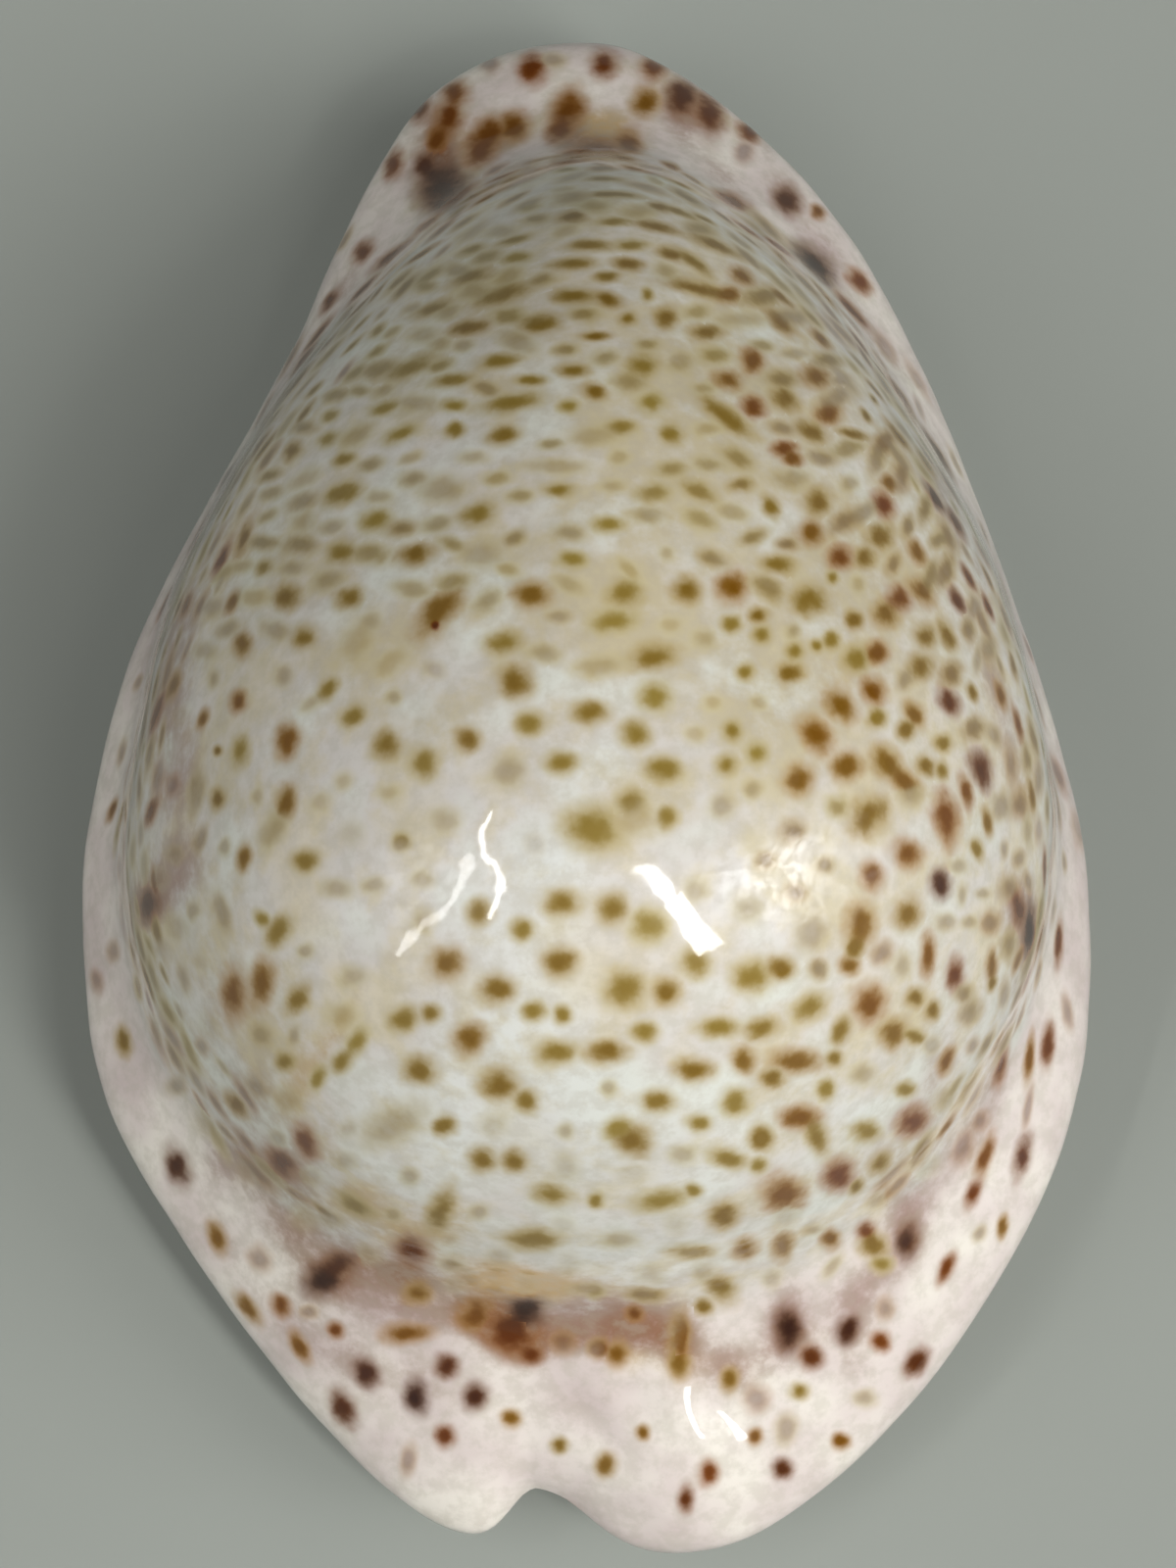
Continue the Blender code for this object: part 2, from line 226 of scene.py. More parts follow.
MIDDLE_SPOTS = [
    (348, 564, 28, 20, 10, 40), (424, 566, 36, 19, 15, 50), (584, 571, 26, 16, 5, 35),
    (269, 579, 20, 14, 45, 40), (249, 548, 34, 13, 75, 55), (226, 571, 36, 12, 65, 78),
    (292, 609, 26, 22, 30, 50), (355, 610, 26, 20, 15, 45), (237, 614, 26, 12, 65, 60),
    (541, 606, 35, 22, 0, 55), (448, 623, 58, 26, 50, 55), (444, 638, 9, 9, 0, 95),
    (247, 657, 26, 17, 80, 55), (310, 650, 26, 20, 35, 45), (513, 655, 35, 20, 5, 40),
    (526, 696, 36, 26, 5, 50), (333, 704, 26, 15, 50, 40), (243, 716, 21, 14, 72, 65),
    (207, 734, 22, 9, 72, 60), (361, 731, 26, 18, 40, 40), (293, 756, 34, 20, 87, 62),
    (393, 760, 28, 25, 40, 45), (434, 779, 27, 26, 0, 40), (477, 754, 24, 23, 30, 50),
    (541, 738, 28, 21, 0, 40), (602, 727, 36, 20, 0, 45), (245, 766, 34, 15, 82, 38),
    (573, 778, 32, 20, 5, 40), (222, 815, 19, 12, 80, 50), (292, 819, 33, 17, 83, 55),
    (222, 766, 9, 9, 0, 50), (160, 727, 44, 15, 65, 78), (176, 700, 30, 16, 66, 60),
    (410, 858, 18, 16, 0, 40), (606, 846, 56, 38, -8, 38), (638, 606, 32, 24, 0, 40),
    (624, 634, 44, 20, 8, 35), (700, 602, 28, 22, 0, 50), (747, 598, 30, 27, -20, 62),
    (746, 637, 18, 16, 0, 40), (774, 628, 18, 14, 0, 50), (777, 648, 18, 16, 0, 40),
    (665, 671, 46, 22, 8, 45), (811, 665, 18, 16, 0, 40), (806, 687, 26, 19, 0, 50),
    (760, 686, 18, 16, 0, 40), (833, 659, 12, 12, 0, 40), (848, 653, 16, 16, 0, 40),
    (668, 710, 32, 26, 0, 35), (857, 719, 36, 23, -50, 58), (891, 705, 28, 19, -60, 65),
    (895, 733, 20, 18, 0, 42), (933, 728, 26, 16, -60, 58), (925, 745, 18, 18, 0, 50),
    (648, 748, 28, 25, 0, 40), (747, 746, 18, 18, 0, 40), (833, 751, 38, 23, -55, 62),
    (772, 769, 20, 19, 0, 35), (741, 781, 20, 18, 0, 40), (864, 782, 28, 25, 60, 58),
    (906, 780, 38, 24, -58, 55), (923, 797, 34, 19, -40, 60), (677, 784, 34, 23, 0, 40),
    (815, 796, 29, 27, -20, 58), (644, 820, 28, 24, 0, 42), (885, 833, 44, 30, 42, 50),
    (680, 834, 24, 18, 80, 40), (249, 875, 27, 13, 80, 55), (311, 878, 26, 20, 0, 42),
    (154, 828, 34, 15, 60, 72), (115, 826, 24, 9, 65, 65), (151, 924, 38, 27, 65, 90),
]
LOWER_SPOTS = [
    (489, 931, 24, 22, 0, 45), (533, 948, 22, 20, 80, 40), (573, 921, 34, 25, -5, 45),
    (625, 927, 30, 28, 0, 45), (662, 945, 34, 30, 0, 35), (456, 984, 33, 28, 0, 55),
    (571, 982, 32, 29, 0, 50), (507, 1010, 32, 26, 0, 50), (637, 1009, 40, 33, 0, 42),
    (680, 1013, 26, 25, 0, 50), (709, 982, 30, 26, 0, 40), (889, 893, 29, 20, -70, 66),
    (926, 871, 30, 24, -55, 66), (926, 933, 32, 23, 80, 52), (878, 944, 42, 26, 82, 58),
    (872, 966, 26, 16, 80, 50), (867, 985, 20, 17, 0, 58), (767, 996, 38, 28, 0, 40),
    (797, 988, 28, 19, -5, 50), (411, 1040, 29, 21, 10, 42), (439, 1034, 20, 17, 0, 45),
    (545, 1031, 24, 18, 0, 40), (574, 1036, 18, 16, 0, 40), (479, 1061, 32, 27, 0, 56),
    (568, 1074, 38, 21, 0, 42), (619, 1073, 40, 20, 0, 50), (658, 1054, 26, 19, -10, 40),
    (348, 1084, 24, 17, 50, 40), (364, 1064, 30, 16, 65, 35), (325, 1100, 24, 13, 65, 35),
    (427, 1092, 32, 25, 0, 48), (509, 1107, 36, 27, 0, 50), (537, 1123, 22, 19, -60, 45),
    (671, 1124, 31, 19, 0, 45), (453, 1149, 23, 18, 15, 46), (303, 1020, 34, 18, 62, 45),
    (827, 1027, 36, 22, 35, 42), (887, 1024, 36, 27, 68, 66), (858, 1052, 30, 17, 72, 46),
    (934, 1018, 20, 15, 60, 50), (952, 1032, 19, 14, 80, 50), (911, 1055, 28, 24, 60, 55),
    (933, 1058, 22, 13, -10, 45), (733, 1049, 44, 18, 0, 40), (777, 1050, 32, 20, 15, 45),
    (707, 1092, 36, 21, 0, 50), (759, 1082, 26, 21, -70, 55), (787, 1100, 26, 18, 10, 50),
    (813, 1083, 48, 20, -3, 58), (851, 1080, 18, 15, 0, 46), (843, 1111, 20, 16, 75, 40),
    (924, 1112, 20, 15, 0, 42), (750, 1125, 28, 22, 10, 40), (714, 1146, 24, 16, 0, 40),
    (817, 1141, 38, 20, 0, 64), (834, 1160, 34, 18, -75, 46), (932, 1144, 34, 28, 0, 76),
    (646, 1164, 34, 28, -20, 50), (630, 1152, 30, 18, 10, 36), (884, 1155, 29, 20, 0, 42),
    (777, 1160, 22, 20, 0, 48), (267, 1003, 42, 21, 84, 60), (238, 1015, 48, 22, 88, 64),
    (284, 950, 34, 19, 58, 42), (267, 938, 20, 13, -60, 36), (141, 1007, 24, 16, 80, 42),
    (126, 1063, 27, 13, -82, 50), (241, 1127, 28, 18, -45, 55), (290, 1084, 18, 16, 0, 42),
]
BACK_SPOTS = [
    (181, 1190, 36, 20, -68, 95), (222, 1263, 30, 14, -70, 60), (253, 1335, 34, 13, -55, 60),
    (287, 1332, 22, 15, -60, 70), (342, 1357, 16, 13, -45, 72), (306, 1374, 30, 13, -60, 65),
    (287, 1187, 34, 31, 0, 80), (312, 1166, 36, 22, -78, 74), (329, 1305, 38, 27, 30, 100),
    (343, 1292, 40, 22, 25, 90), (362, 1230, 40, 20, -30, 42), (449, 1237, 42, 20, 70, 46),
    (420, 1277, 33, 33, 0, 80), (425, 1319, 26, 19, 0, 60), (413, 1361, 44, 17, 5, 65),
    (485, 1341, 34, 27, 45, 68), (537, 1336, 34, 30, 30, 100), (523, 1353, 30, 24, 40, 90),
    (542, 1383, 24, 18, 0, 80), (373, 1401, 28, 20, -50, 95), (350, 1437, 36, 20, -65, 90),
    (424, 1426, 32, 20, -80, 100), (455, 1394, 22, 20, 0, 90), (485, 1425, 26, 22, 80, 95),
    (454, 1465, 20, 18, 80, 80), (522, 1448, 18, 16, 0, 60), (571, 1475, 16, 14, 0, 50),
    (618, 1495, 22, 18, 80, 55), (562, 1219, 36, 19, -5, 42), (607, 1225, 15, 14, 0, 40),
    (521, 1362, 50, 34, -30, 80), (696, 1366, 50, 12, 85, 68), (648, 1340, 16, 14, 0, 70),
    (612, 1376, 20, 16, 0, 70), (492, 1184, 26, 22, 0, 48), (524, 1185, 26, 20, -10, 48),
    (543, 1265, 50, 20, 0, 44), (744, 1183, 34, 16, -10, 42), (774, 1189, 18, 14, 0, 40),
    (776, 1162, 20, 18, -60, 48), (855, 1200, 31, 28, -10, 78), (874, 1211, 18, 13, 60, 50),
    (800, 1219, 42, 32, -30, 66), (898, 1187, 26, 18, 60, 50), (940, 1174, 36, 16, 66, 55),
    (672, 1226, 50, 18, 10, 38), (707, 1215, 17, 12, 0, 40), (739, 1241, 28, 25, 0, 52),
    (759, 1275, 26, 23, 80, 58), (798, 1271, 33, 20, 86, 56), (847, 1264, 19, 19, 0, 62),
    (884, 1256, 18, 18, 0, 74), (891, 1270, 26, 22, 0, 50), (705, 1278, 42, 16, -5, 42),
    (735, 1313, 30, 21, -35, 48), (718, 1333, 18, 14, 0, 50), (658, 1321, 36, 15, -5, 48),
    (607, 1317, 18, 14, 0, 35), (926, 1266, 34, 20, 78, 96), (966, 1294, 28, 12, 65, 76),
    (1023, 1252, 22, 9, 80, 60), (804, 1357, 40, 22, -84, 100), (828, 1385, 22, 20, 0, 85),
    (865, 1357, 27, 19, 68, 97), (898, 1369, 18, 17, 0, 75), (935, 1390, 30, 17, 60, 88),
    (630, 1382, 22, 20, 0, 62), (693, 1392, 28, 18, 80, 55), (744, 1408, 24, 15, 80, 55),
    (816, 1420, 18, 14, 0, 45), (770, 1466, 15, 15, 0, 65), (798, 1499, 20, 18, 0, 90),
    (858, 1471, 16, 15, 0, 65), (723, 1503, 24, 17, 70, 75), (700, 1530, 27, 14, 82, 85),
    (656, 1462, 13, 13, 0, 60), (900, 1290, 20, 16, 0, 40),
]
FAINT_SPOTS = [
    (500, 65, 18, 16, 0, 80), (565, 61, 22, 14, 0, 45), (759, 155, 18, 18, 0, 80),
    (575, 193, 26, 10, 0, 30), (607, 444, 56, 20, 8, 30), (418, 468, 26, 10, 20, 30),
    (483, 467, 28, 12, 0, 30), (569, 476, 66, 13, 0, 30), (633, 467, 20, 12, 0, 30),
    (309, 489, 36, 15, 30, 30), (452, 499, 46, 25, 5, 35), (625, 496, 24, 12, 0, 30),
    (309, 532, 26, 19, 30, 30), (754, 326, 50, 14, 0, 30), (695, 369, 28, 18, 0, 35),
    (810, 361, 30, 10, 0, 40), (867, 493, 18, 14, 0, 40), (997, 673, 30, 10, 80, 40),
    (491, 565, 40, 25, 0, 35), (680, 565, 16, 14, 0, 30), (379, 633, 24, 17, 20, 30),
    (364, 655, 50, 28, 60, 25), (397, 677, 38, 20, 45, 25), (290, 690, 22, 16, 80, 40),
    (218, 693, 17, 10, 75, 40), (318, 717, 24, 12, 35, 30), (402, 712, 16, 14, 0, 35),
    (519, 787, 34, 27, 0, 40), (263, 813, 20, 11, 80, 30), (199, 805, 40, 13, 82, 40),
    (326, 819, 26, 19, 30, 25), (350, 797, 20, 14, 50, 25), (396, 809, 20, 18, 0, 25),
    (453, 838, 28, 23, 0, 30), (649, 835, 50, 36, 0, 28), (876, 596, 14, 14, 0, 30),
    (719, 652, 22, 17, 0, 30), (810, 644, 14, 14, 0, 35), (685, 639, 24, 15, 0, 25),
    (610, 680, 50, 20, 3, 32), (774, 717, 18, 12, 0, 30), (728, 717, 18, 14, 0, 25),
    (710, 749, 20, 17, 0, 25), (768, 805, 18, 16, 0, 40), (737, 823, 24, 21, 0, 40),
    (343, 907, 30, 17, 0, 35), (380, 903, 26, 14, 10, 35), (431, 898, 24, 16, 0, 35),
    (432, 940, 22, 20, 0, 38), (312, 971, 16, 13, 0, 38), (710, 908, 22, 20, 0, 35),
    (764, 926, 32, 27, 0, 35), (828, 952, 38, 28, 80, 42), (921, 986, 26, 16, 85, 38),
    (349, 1037, 28, 22, 0, 28), (621, 1110, 16, 15, 0, 35), (400, 1148, 62, 32, 27, 38),
    (880, 1096, 27, 19, 15, 38), (577, 1154, 16, 14, 0, 35), (265, 1285, 24, 17, -50, 70),
    (315, 1339, 16, 12, 0, 60), (400, 1239, 16, 14, 0, 38), (460, 1290, 24, 18, 10, 40),
    (575, 1370, 22, 20, 0, 65), (609, 1375, 18, 17, 0, 55), (417, 1490, 28, 13, 80, 65),
    (418, 1201, 18, 15, 0, 38), (631, 1266, 34, 15, 0, 36), (489, 1237, 19, 14, 0, 38),
    (598, 1315, 34, 12, 0, 38), (696, 1178, 24, 17, 0, 36), (830, 1255, 22, 12, 0, 40),
    (849, 1292, 26, 11, 50, 35), (982, 1171, 34, 16, 70, 72), (904, 1336, 22, 15, 70, 65),
    (693, 1361, 46, 18, 85, 50), (772, 1427, 24, 22, 0, 72), (802, 1459, 28, 18, 80, 50),
    (882, 1427, 20, 15, 0, 42), (141, 697, 15, 9, 60, 55), (202, 812, 40, 11, 76, 42),
    (204, 857, 26, 10, 72, 50), (176, 801, 22, 15, 75, 72), (226, 929, 38, 13, -74, 45),
    (197, 929, 20, 13, 80, 40), (187, 999, 30, 13, -80, 45), (206, 1068, 18, 13, -70, 60),
    (267, 1057, 24, 18, -60, 45), (261, 1109, 28, 20, -40, 55), (181, 1107, 30, 16, 30, 50),
    (98, 1001, 22, 11, -80, 70), (116, 971, 20, 12, 80, 60), (229, 865, 18, 10, 80, 40),
    (279, 848, 38, 22, 60, 35), (1060, 720, 38, 7, -74, 70), (1014, 750, 24, 12, -60, 50),
    (1025, 867, 18, 9, 85, 50), (1049, 848, 30, 12, -85, 40), (1086, 880, 20, 7, -85, 50),
    (978, 884, 17, 14, 0, 40), (982, 914, 22, 9, 85, 40), (964, 941, 20, 15, 0, 45),
    (989, 941, 16, 12, 0, 42), (1003, 912, 16, 10, 0, 40), (1025, 1015, 30, 14, -85, 55),
    (1089, 1032, 30, 9, -80, 72), (993, 1067, 18, 12, 60, 60), (1000, 1143, 20, 12, 60, 70),
    (1049, 1130, 40, 7, 80, 72), (940, 1176, 40, 18, 66, 42), (999, 1258, 16, 10, 60, 50),
    (930, 812, 24, 19, 0, 42), (1032, 780, 40, 13, -85, 60), (300, 1056, 22, 11, 80, 40),
    (409, 861, 19, 14, 0, 42),
]

# Soft clouds of colour, in the same pixels: x, y, length, thickness, tilt, strength in hundredths
BEIGE_CLOUDS = [
    (400, 690, 130, 120, 30, 70), (420, 480, 160, 120, 20, 30), (600, 350, 240, 260, 0, 45),
    (735, 370, 230, 260, -35, 60), (860, 620, 200, 260, 20, 50), (680, 500, 240, 130, 0, 40),
    (610, 610, 300, 250, 0, 80), (780, 720, 190, 210, 0, 80), (880, 560, 190, 120, -60, 40),
    (235, 760, 240, 80, 85, 50), (350, 640, 150, 110, 60, 45), (290, 560, 130, 70, 60, 40),
    (470, 640, 120, 90, 0, 40), (215, 960, 150, 70, 85, 60), (270, 1080, 150, 90, -75, 75),
    (930, 1060, 160, 70, 80, 35), (840, 900, 130, 90, 80, 30), (700, 850, 160, 80, -10, 35),
    (930, 850, 160, 70, 80, 35), (560, 420, 200, 120, 0, 25), (750, 420, 150, 110, -30, 35),
    (380, 860, 120, 90, 0, 30), (460, 740, 160, 90, 0, 35), (340, 1040, 60, 120, 15, 35),
]
PALE_CLOUDS = [
    (620, 775, 90, 70, 0, 90), (540, 1000, 220, 260, 0, 70), (395, 450, 150, 110, 50, 60),
    (440, 690, 110, 60, 30, 50), (330, 960, 110, 80, 60, 60), (470, 1160, 240, 130, 0, 60),
    (690, 1180, 260, 130, 0, 50), (620, 1290, 260, 70, 0, 60), (870, 1130, 100, 60, -20, 50),
    (900, 480, 60, 50, 0, 60), (880, 640, 40, 30, 0, 50), (820, 1210, 60, 60, 0, 40),
    (560, 190, 120, 50, 5, 40), (570, 870, 110, 90, 0, 50), (420, 1110, 140, 90, 20, 40),
]
OCHRE_CLOUDS = [
    (525, 1309, 130, 40, 0, 80), (616, 128, 90, 46, 0, 70), (362, 1226, 70, 46, 0, 60),
    (450, 1240, 70, 46, 0, 45), (275, 430, 90, 34, 55, 50), (440, 1265, 110, 40, -25, 40),
    (520, 1310, 110, 36, -8, 75), (390, 1250, 90, 40, -35, 40), (345, 1050, 110, 26, 60, 40),
    (300, 1110, 120, 60, 70, 50), (340, 1170, 70, 40, 80, 35), (650, 1150, 60, 40, 0, 30),
    (855, 1200, 50, 50, 0, 30), (600, 1310, 120, 24, 0, 35), (616, 140, 100, 40, 0, 45),
    (508, 138, 70, 50, 15, 35), (700, 1395, 70, 60, 0, 35), (640, 1385, 70, 46, 0, 45),
    (870, 700, 110, 60, -60, 30), (240, 560, 120, 40, 62, 50), (900, 1230, 80, 40, 60, 30),
    (800, 1260, 70, 50, 0, 25),
]
# Brown clouds: brown washes of the enamel, and partly painted shade in the crease along the dome's foot at
# the back
BROWN_AND_SHADE_CLOUDS = [
    (521, 1358, 90, 60, -30, 100), (629, 1352, 120, 60, 0, 80), (580, 1365, 60, 40, 0, 50),
    (414, 1303, 100, 66, 0, 60), (696, 1372, 50, 80, 0, 60), (341, 1300, 86, 60, 30, 60),
    (300, 1240, 120, 76, -40, 45), (451, 188, 60, 66, 0, 80), (448, 138, 34, 80, 10, 60),
    (505, 142, 64, 50, 30, 60), (580, 120, 40, 60, 0, 60), (610, 150, 90, 30, 0, 70),
    (704, 108, 70, 56, 0, 50), (748, 1402, 60, 56, 0, 40), (806, 1357, 50, 66, 0, 70),
    (868, 1357, 54, 44, 0, 40), (926, 1262, 44, 70, 0, 50), (151, 920, 60, 60, 0, 50),
    (293, 1187, 70, 64, 0, 50), (240, 1010, 90, 80, 0, 35), (250, 1110, 100, 90, -40, 30),
    (165, 730, 60, 120, 10, 30), (950, 1100, 60, 160, -10, 30), (470, 1340, 70, 50, 0, 50),
    (745, 205, 60, 36, -10, 40), (830, 265, 70, 40, -42, 50), (900, 1190, 60, 70, 0, 30),
    (1045, 940, 40, 90, 0, 50),
]
# Purple clouds: a purple tint of the enamel, and partly painted shade in the crease along the dome's foot,
# at the back and on the left flank
PURPLE_AND_SHADE_CLOUDS = [
    (700, 122, 64, 54, 0, 80), (448, 170, 90, 46, 75, 60), (430, 130, 60, 44, 60, 40),
    (735, 178, 74, 34, -35, 50), (800, 195, 60, 44, -45, 50), (840, 255, 90, 36, -45, 60),
    (780, 150, 50, 40, -45, 30), (215, 545, 120, 40, 62, 50), (178, 650, 120, 44, 70, 75),
    (165, 730, 90, 40, 66, 60), (178, 800, 90, 40, 78, 50), (182, 885, 80, 50, 80, 70),
    (155, 915, 66, 48, 66, 80), (205, 1050, 110, 60, 80, 25), (240, 1190, 70, 56, 0, 60),
    (225, 1265, 70, 40, -60, 40), (300, 1255, 80, 56, 0, 60), (345, 1300, 96, 66, 0, 80),
    (290, 1345, 90, 34, -50, 30), (390, 1330, 90, 60, 0, 60), (440, 1345, 100, 60, 0, 50),
    (520, 1362, 90, 60, -20, 90), (600, 1345, 120, 60, 0, 100), (668, 1355, 90, 60, 0, 100),
    (740, 1390, 90, 60, 0, 60), (590, 1430, 150, 50, 0, 30), (250, 1150, 120, 130, 0, 35),
    (330, 1370, 160, 60, -30, 40), (190, 760, 60, 260, 5, 30), (802, 1350, 100, 56, 84, 90),
    (870, 1335, 80, 60, 70, 80), (925, 1242, 84, 50, 78, 90), (905, 1300, 60, 50, 0, 40),
    (965, 1185, 110, 50, 72, 40), (1003, 1140, 110, 40, 76, 40), (1040, 925, 96, 44, -74, 80),
    (1045, 1000, 80, 34, 82, 50), (1030, 770, 130, 30, -77, 50), (1012, 690, 100, 28, -70, 50),
    (985, 560, 140, 26, -62, 50), (950, 480, 130, 26, -56, 60), (900, 350, 130, 28, -50, 55),
    (370, 1400, 80, 44, -50, 40), (430, 1410, 80, 50, -60, 40), (1020, 1090, 90, 30, 78, 40),
    (345, 300, 90, 26, 52, 60), (300, 380, 100, 24, 55, 45), (870, 1395, 60, 50, 0, 35),
    (480, 1420, 60, 50, 0, 30),
]

# The enamel's colours as they look on a screen, 0 to 255: by a mark's tone, or by patchy noise
CORE_COLOURS = [
    (0.2, 168, 150, 100), (0.35, 130, 110, 50), (0.5, 110, 84, 28),
    (0.62, 104, 68, 10), (0.75, 92, 44, 2), (1.0, 44, 20, 8),
]
RIM_COLOURS = [
    (0.2, 190, 178, 140), (0.35, 166, 152, 104), (0.5, 154, 132, 78),
    (0.62, 150, 116, 60), (0.75, 140, 94, 52), (1.0, 98, 66, 46),
]
DORSUM_COLOURS = [(0.32, 196, 197, 187), (0.5, 192, 187, 180), (0.66, 195, 186, 166)]
CALLUS_COLOURS = [(0.32, 188, 175, 170), (0.5, 200, 190, 183), (0.68, 210, 204, 193)]
BEIGE, PALE, STRAW, BASE_CREAM = (176, 165, 138), (201, 202, 196), (184, 174, 146), (222, 217, 207)
# The purple and brown washes are partly painted shade in the crease along the dome's foot
CROWDED_TAN, PURPLE_AND_SHADE, OCHRE, BROWN_AND_SHADE = (178, 162, 124), (138, 108, 98), (172, 140, 82), (124, 82, 52)
MOTTLING = (164, 157, 142)
SURFACE_COLOURS = [(0.35, 130, 134, 127), (0.65, 135, 139, 132)]

# Wavelengths of the noise in the enamel, in metres: its smallest specks, the wobble of the marks'
# edges, the waves of the gloss, and the broken and broad patches of its ground
FINE_WAVE, WOBBLE_WAVE, GLOSS_WAVE = 0.43 * MM, 0.5 * MM, 0.9 * MM
MIDDLE_WAVE, PATCH_WAVE = 1.1 * MM, 2.2 * MM

# How far noise shifts a place in a mark, in the mark's own coordinates, and how steep its bell is
WOBBLE = 0.8
BELL_STEEPNESS = 3.0


def cubic_weights(f):
    """The four weights of a uniform cubic B-spline at the share f of a span."""
    return ((1 - f) ** 3 / 6,
            (3 * f**3 - 6 * f**2 + 4) / 6,
            (-3 * f**3 + 3 * f**2 + 3 * f + 1) / 6,
            f**3 / 6)


def around(stations, angle):
    """A closed curve through evenly spaced stations: the periodic cubic spline through them."""
    count = len(stations)
    matrix = 4 * np.eye(count) + np.roll(np.eye(count), 1, 0) + np.roll(np.eye(count), -1, 0)
    control = np.linalg.solve(matrix / 6, np.asarray(stations, float))
    place = (angle / (2 * np.pi)) % 1.0 * count
    cell = np.floor(place).astype(int)
    weights = cubic_weights(place - cell)
    return sum(w[:, None] * control[(cell + k - 1) % count] for k, w in enumerate(weights))


def smooth_step(low, high, value):
    """0 below low and 1 above high, with a smooth cubic rise between."""
    share = np.clip((value - low) / (high - low), 0, 1)
    return share * share * (3 - 2 * share)


def notch(angle, shape):
    """A bell curve in the angle: 1 at the notch's direction, narrower on one side than the other."""
    centre, after, before = np.radians(shape)
    turn = (angle - centre + np.pi) % (2 * np.pi) - np.pi
    return np.exp(-(turn / np.where(turn > 0, after, before)) ** 2)


def loop(xy, z):
    """One section: its plan, with its height as a third column."""
    return np.column_stack([xy, np.broadcast_to(z, len(xy))])


def dome_loops(foot, foot_z, last, crown, shares):
    """Dome sections: sine and cosine powers of the share of the way down, as in a superellipse."""
    rows = []
    power = 2 / DOME_FULLNESS
    lowest = np.cos(last) ** power
    for share in shares:
        out = (np.sin(share * last) / np.sin(last)) ** power
        up = (np.cos(share * last) ** power - lowest) / (1 - lowest)
        xy = crown[:2] + (foot - crown[:2]) * out[:, None]
        rows.append(loop(xy, foot_z + (crown[2] - foot_z) * up))
    rows[0][:, 2] = rows[0][:, 2].mean()
    return rows


def slit_outline(angle):
    """The slit's edge: a long flattened oval whose middle line curves to the inner side behind."""
    across, along = np.cos(angle), np.sin(angle)
    y = (SLIT_FRONT + SLIT_BACK) / 2 + (SLIT_FRONT - SLIT_BACK) / 2 * along
    line = SLIT_LINE - SLIT_BEND_BACK * np.clip(-along, 0, 1) ** 3
    line -= SLIT_BEND_FRONT * np.clip(along, 0, 1) ** 2
    half = SLIT_HALF_WIDTH + SLIT_FLARE * along
    x = line + half * np.sign(across) * np.abs(across) ** SLIT_END_POWER
    return np.column_stack([x, y])


def sections(angle):
    """All sections in order: dome, ledge, margin, base, slit's edge, throat and hollow."""
    side, end = np.cos(angle), np.sin(angle)
    foot = around(DOME_FOOT, angle)
    margin = around(MARGIN, angle)
    back, front = notch(angle, BACK_NOTCH), notch(angle, FRONT_NOTCH)
    arch = NOTCH_RISE * np.maximum(back, front)
    lift = arch + BASE_RISE_AT_ENDS * smooth_step(0.75, 1.0, np.abs(end))
    foot_z = FOOT_HEIGHT + 0.3 * side + 1.0 * end**2 + 0.2 * end
    margin_z = MARGIN_HEIGHT + 0.2 * side + 0.5 * end
    top_z = margin_z + LEDGE_ABOVE_MARGIN
    last = np.radians(80 - 12 * end**2)

    rows = dome_loops(foot, foot_z, last, CROWN, DOME_SHARES)
    rows.append(loop(foot, foot_z))
    ledge = margin - foot
    cut = np.column_stack([0 * back, BACK_NOTCH_DEPTH * back])
    rows.append(loop(foot + 0.4 * ledge + 0.1 * cut, top_z + 0.42 * (foot_z - top_z)))
    rows.append(loop(foot + 0.86 * ledge + 0.6 * cut, top_z))
    margin = margin + cut
    rows.append(loop(margin * 1.015, margin_z))

    slit = slit_outline(angle)
    for share, z in BASE_PROFILE:
        rows.append(loop(margin + (slit - margin) * share, z + lift))
    slit_place = len(rows)
    rows.append(loop(slit, 1.4 + 0.65 * arch))

    hollow = HOLLOW_MIDDLE + (foot - HOLLOW_MIDDLE) * HOLLOW_SHARE
    rows.append(loop(slit + (HOLLOW_MIDDLE - slit) * [0, 0.01], 2.5 + 0.5 * arch))
    rows.append(loop(slit + (hollow - slit) * 0.3, 3.4 + 0.2 * arch))
    rows.append(loop(slit + (hollow - slit) * 0.85, 3.7))
    rows.append(loop(hollow, 5.6))
    ceiling = CROWN - [0, 0, WALL_AT_CROWN]
    inner = dome_loops(hollow, foot_z, last, ceiling, CEILING_SHARES)
    return rows, inner[::-1], ceiling, slit_place


def loft(columns, steps):
    """The surface: a cubic B-spline across the sections, mirrored over the crown and the ceiling."""
    turn = np.arange(columns) / columns * 2 * np.pi
    angle = turn - CLOSER_AT_SIDES * np.sin(2 * turn)
    rows, inner, ceiling, slit_place = sections(angle)
    flipped = [2, 2, 0]
    first, last = rows[0], inner[-1]
    control = [first * [-1, -1, 1] + CROWN * flipped, np.tile(CROWN, (columns, 1))]
    control += rows + inner
    control += [np.tile(ceiling, (columns, 1)), last * [-1, -1, 1] + ceiling * flipped]
    control = np.array(control)
    span = np.clip(np.floor(steps).astype(int), 0, len(control) - 4)
    weights = cubic_weights(steps - span)
    grid = sum(w[:, None, None] * control[span + k] for k, w in enumerate(weights))
    return cut_teeth(grid, turn, angle, steps - slit_place - 1)


def grid_normals(grid):
    """Unit normals: the cross product of the steps down and round the grid."""
    round_shell = np.roll(grid, -1, 1) - np.roll(grid, 1, 1)
    normal = np.cross(np.gradient(grid, axis=0), round_shell)
    return normal / (np.linalg.norm(normal, axis=2, keepdims=True) + 1e-9)


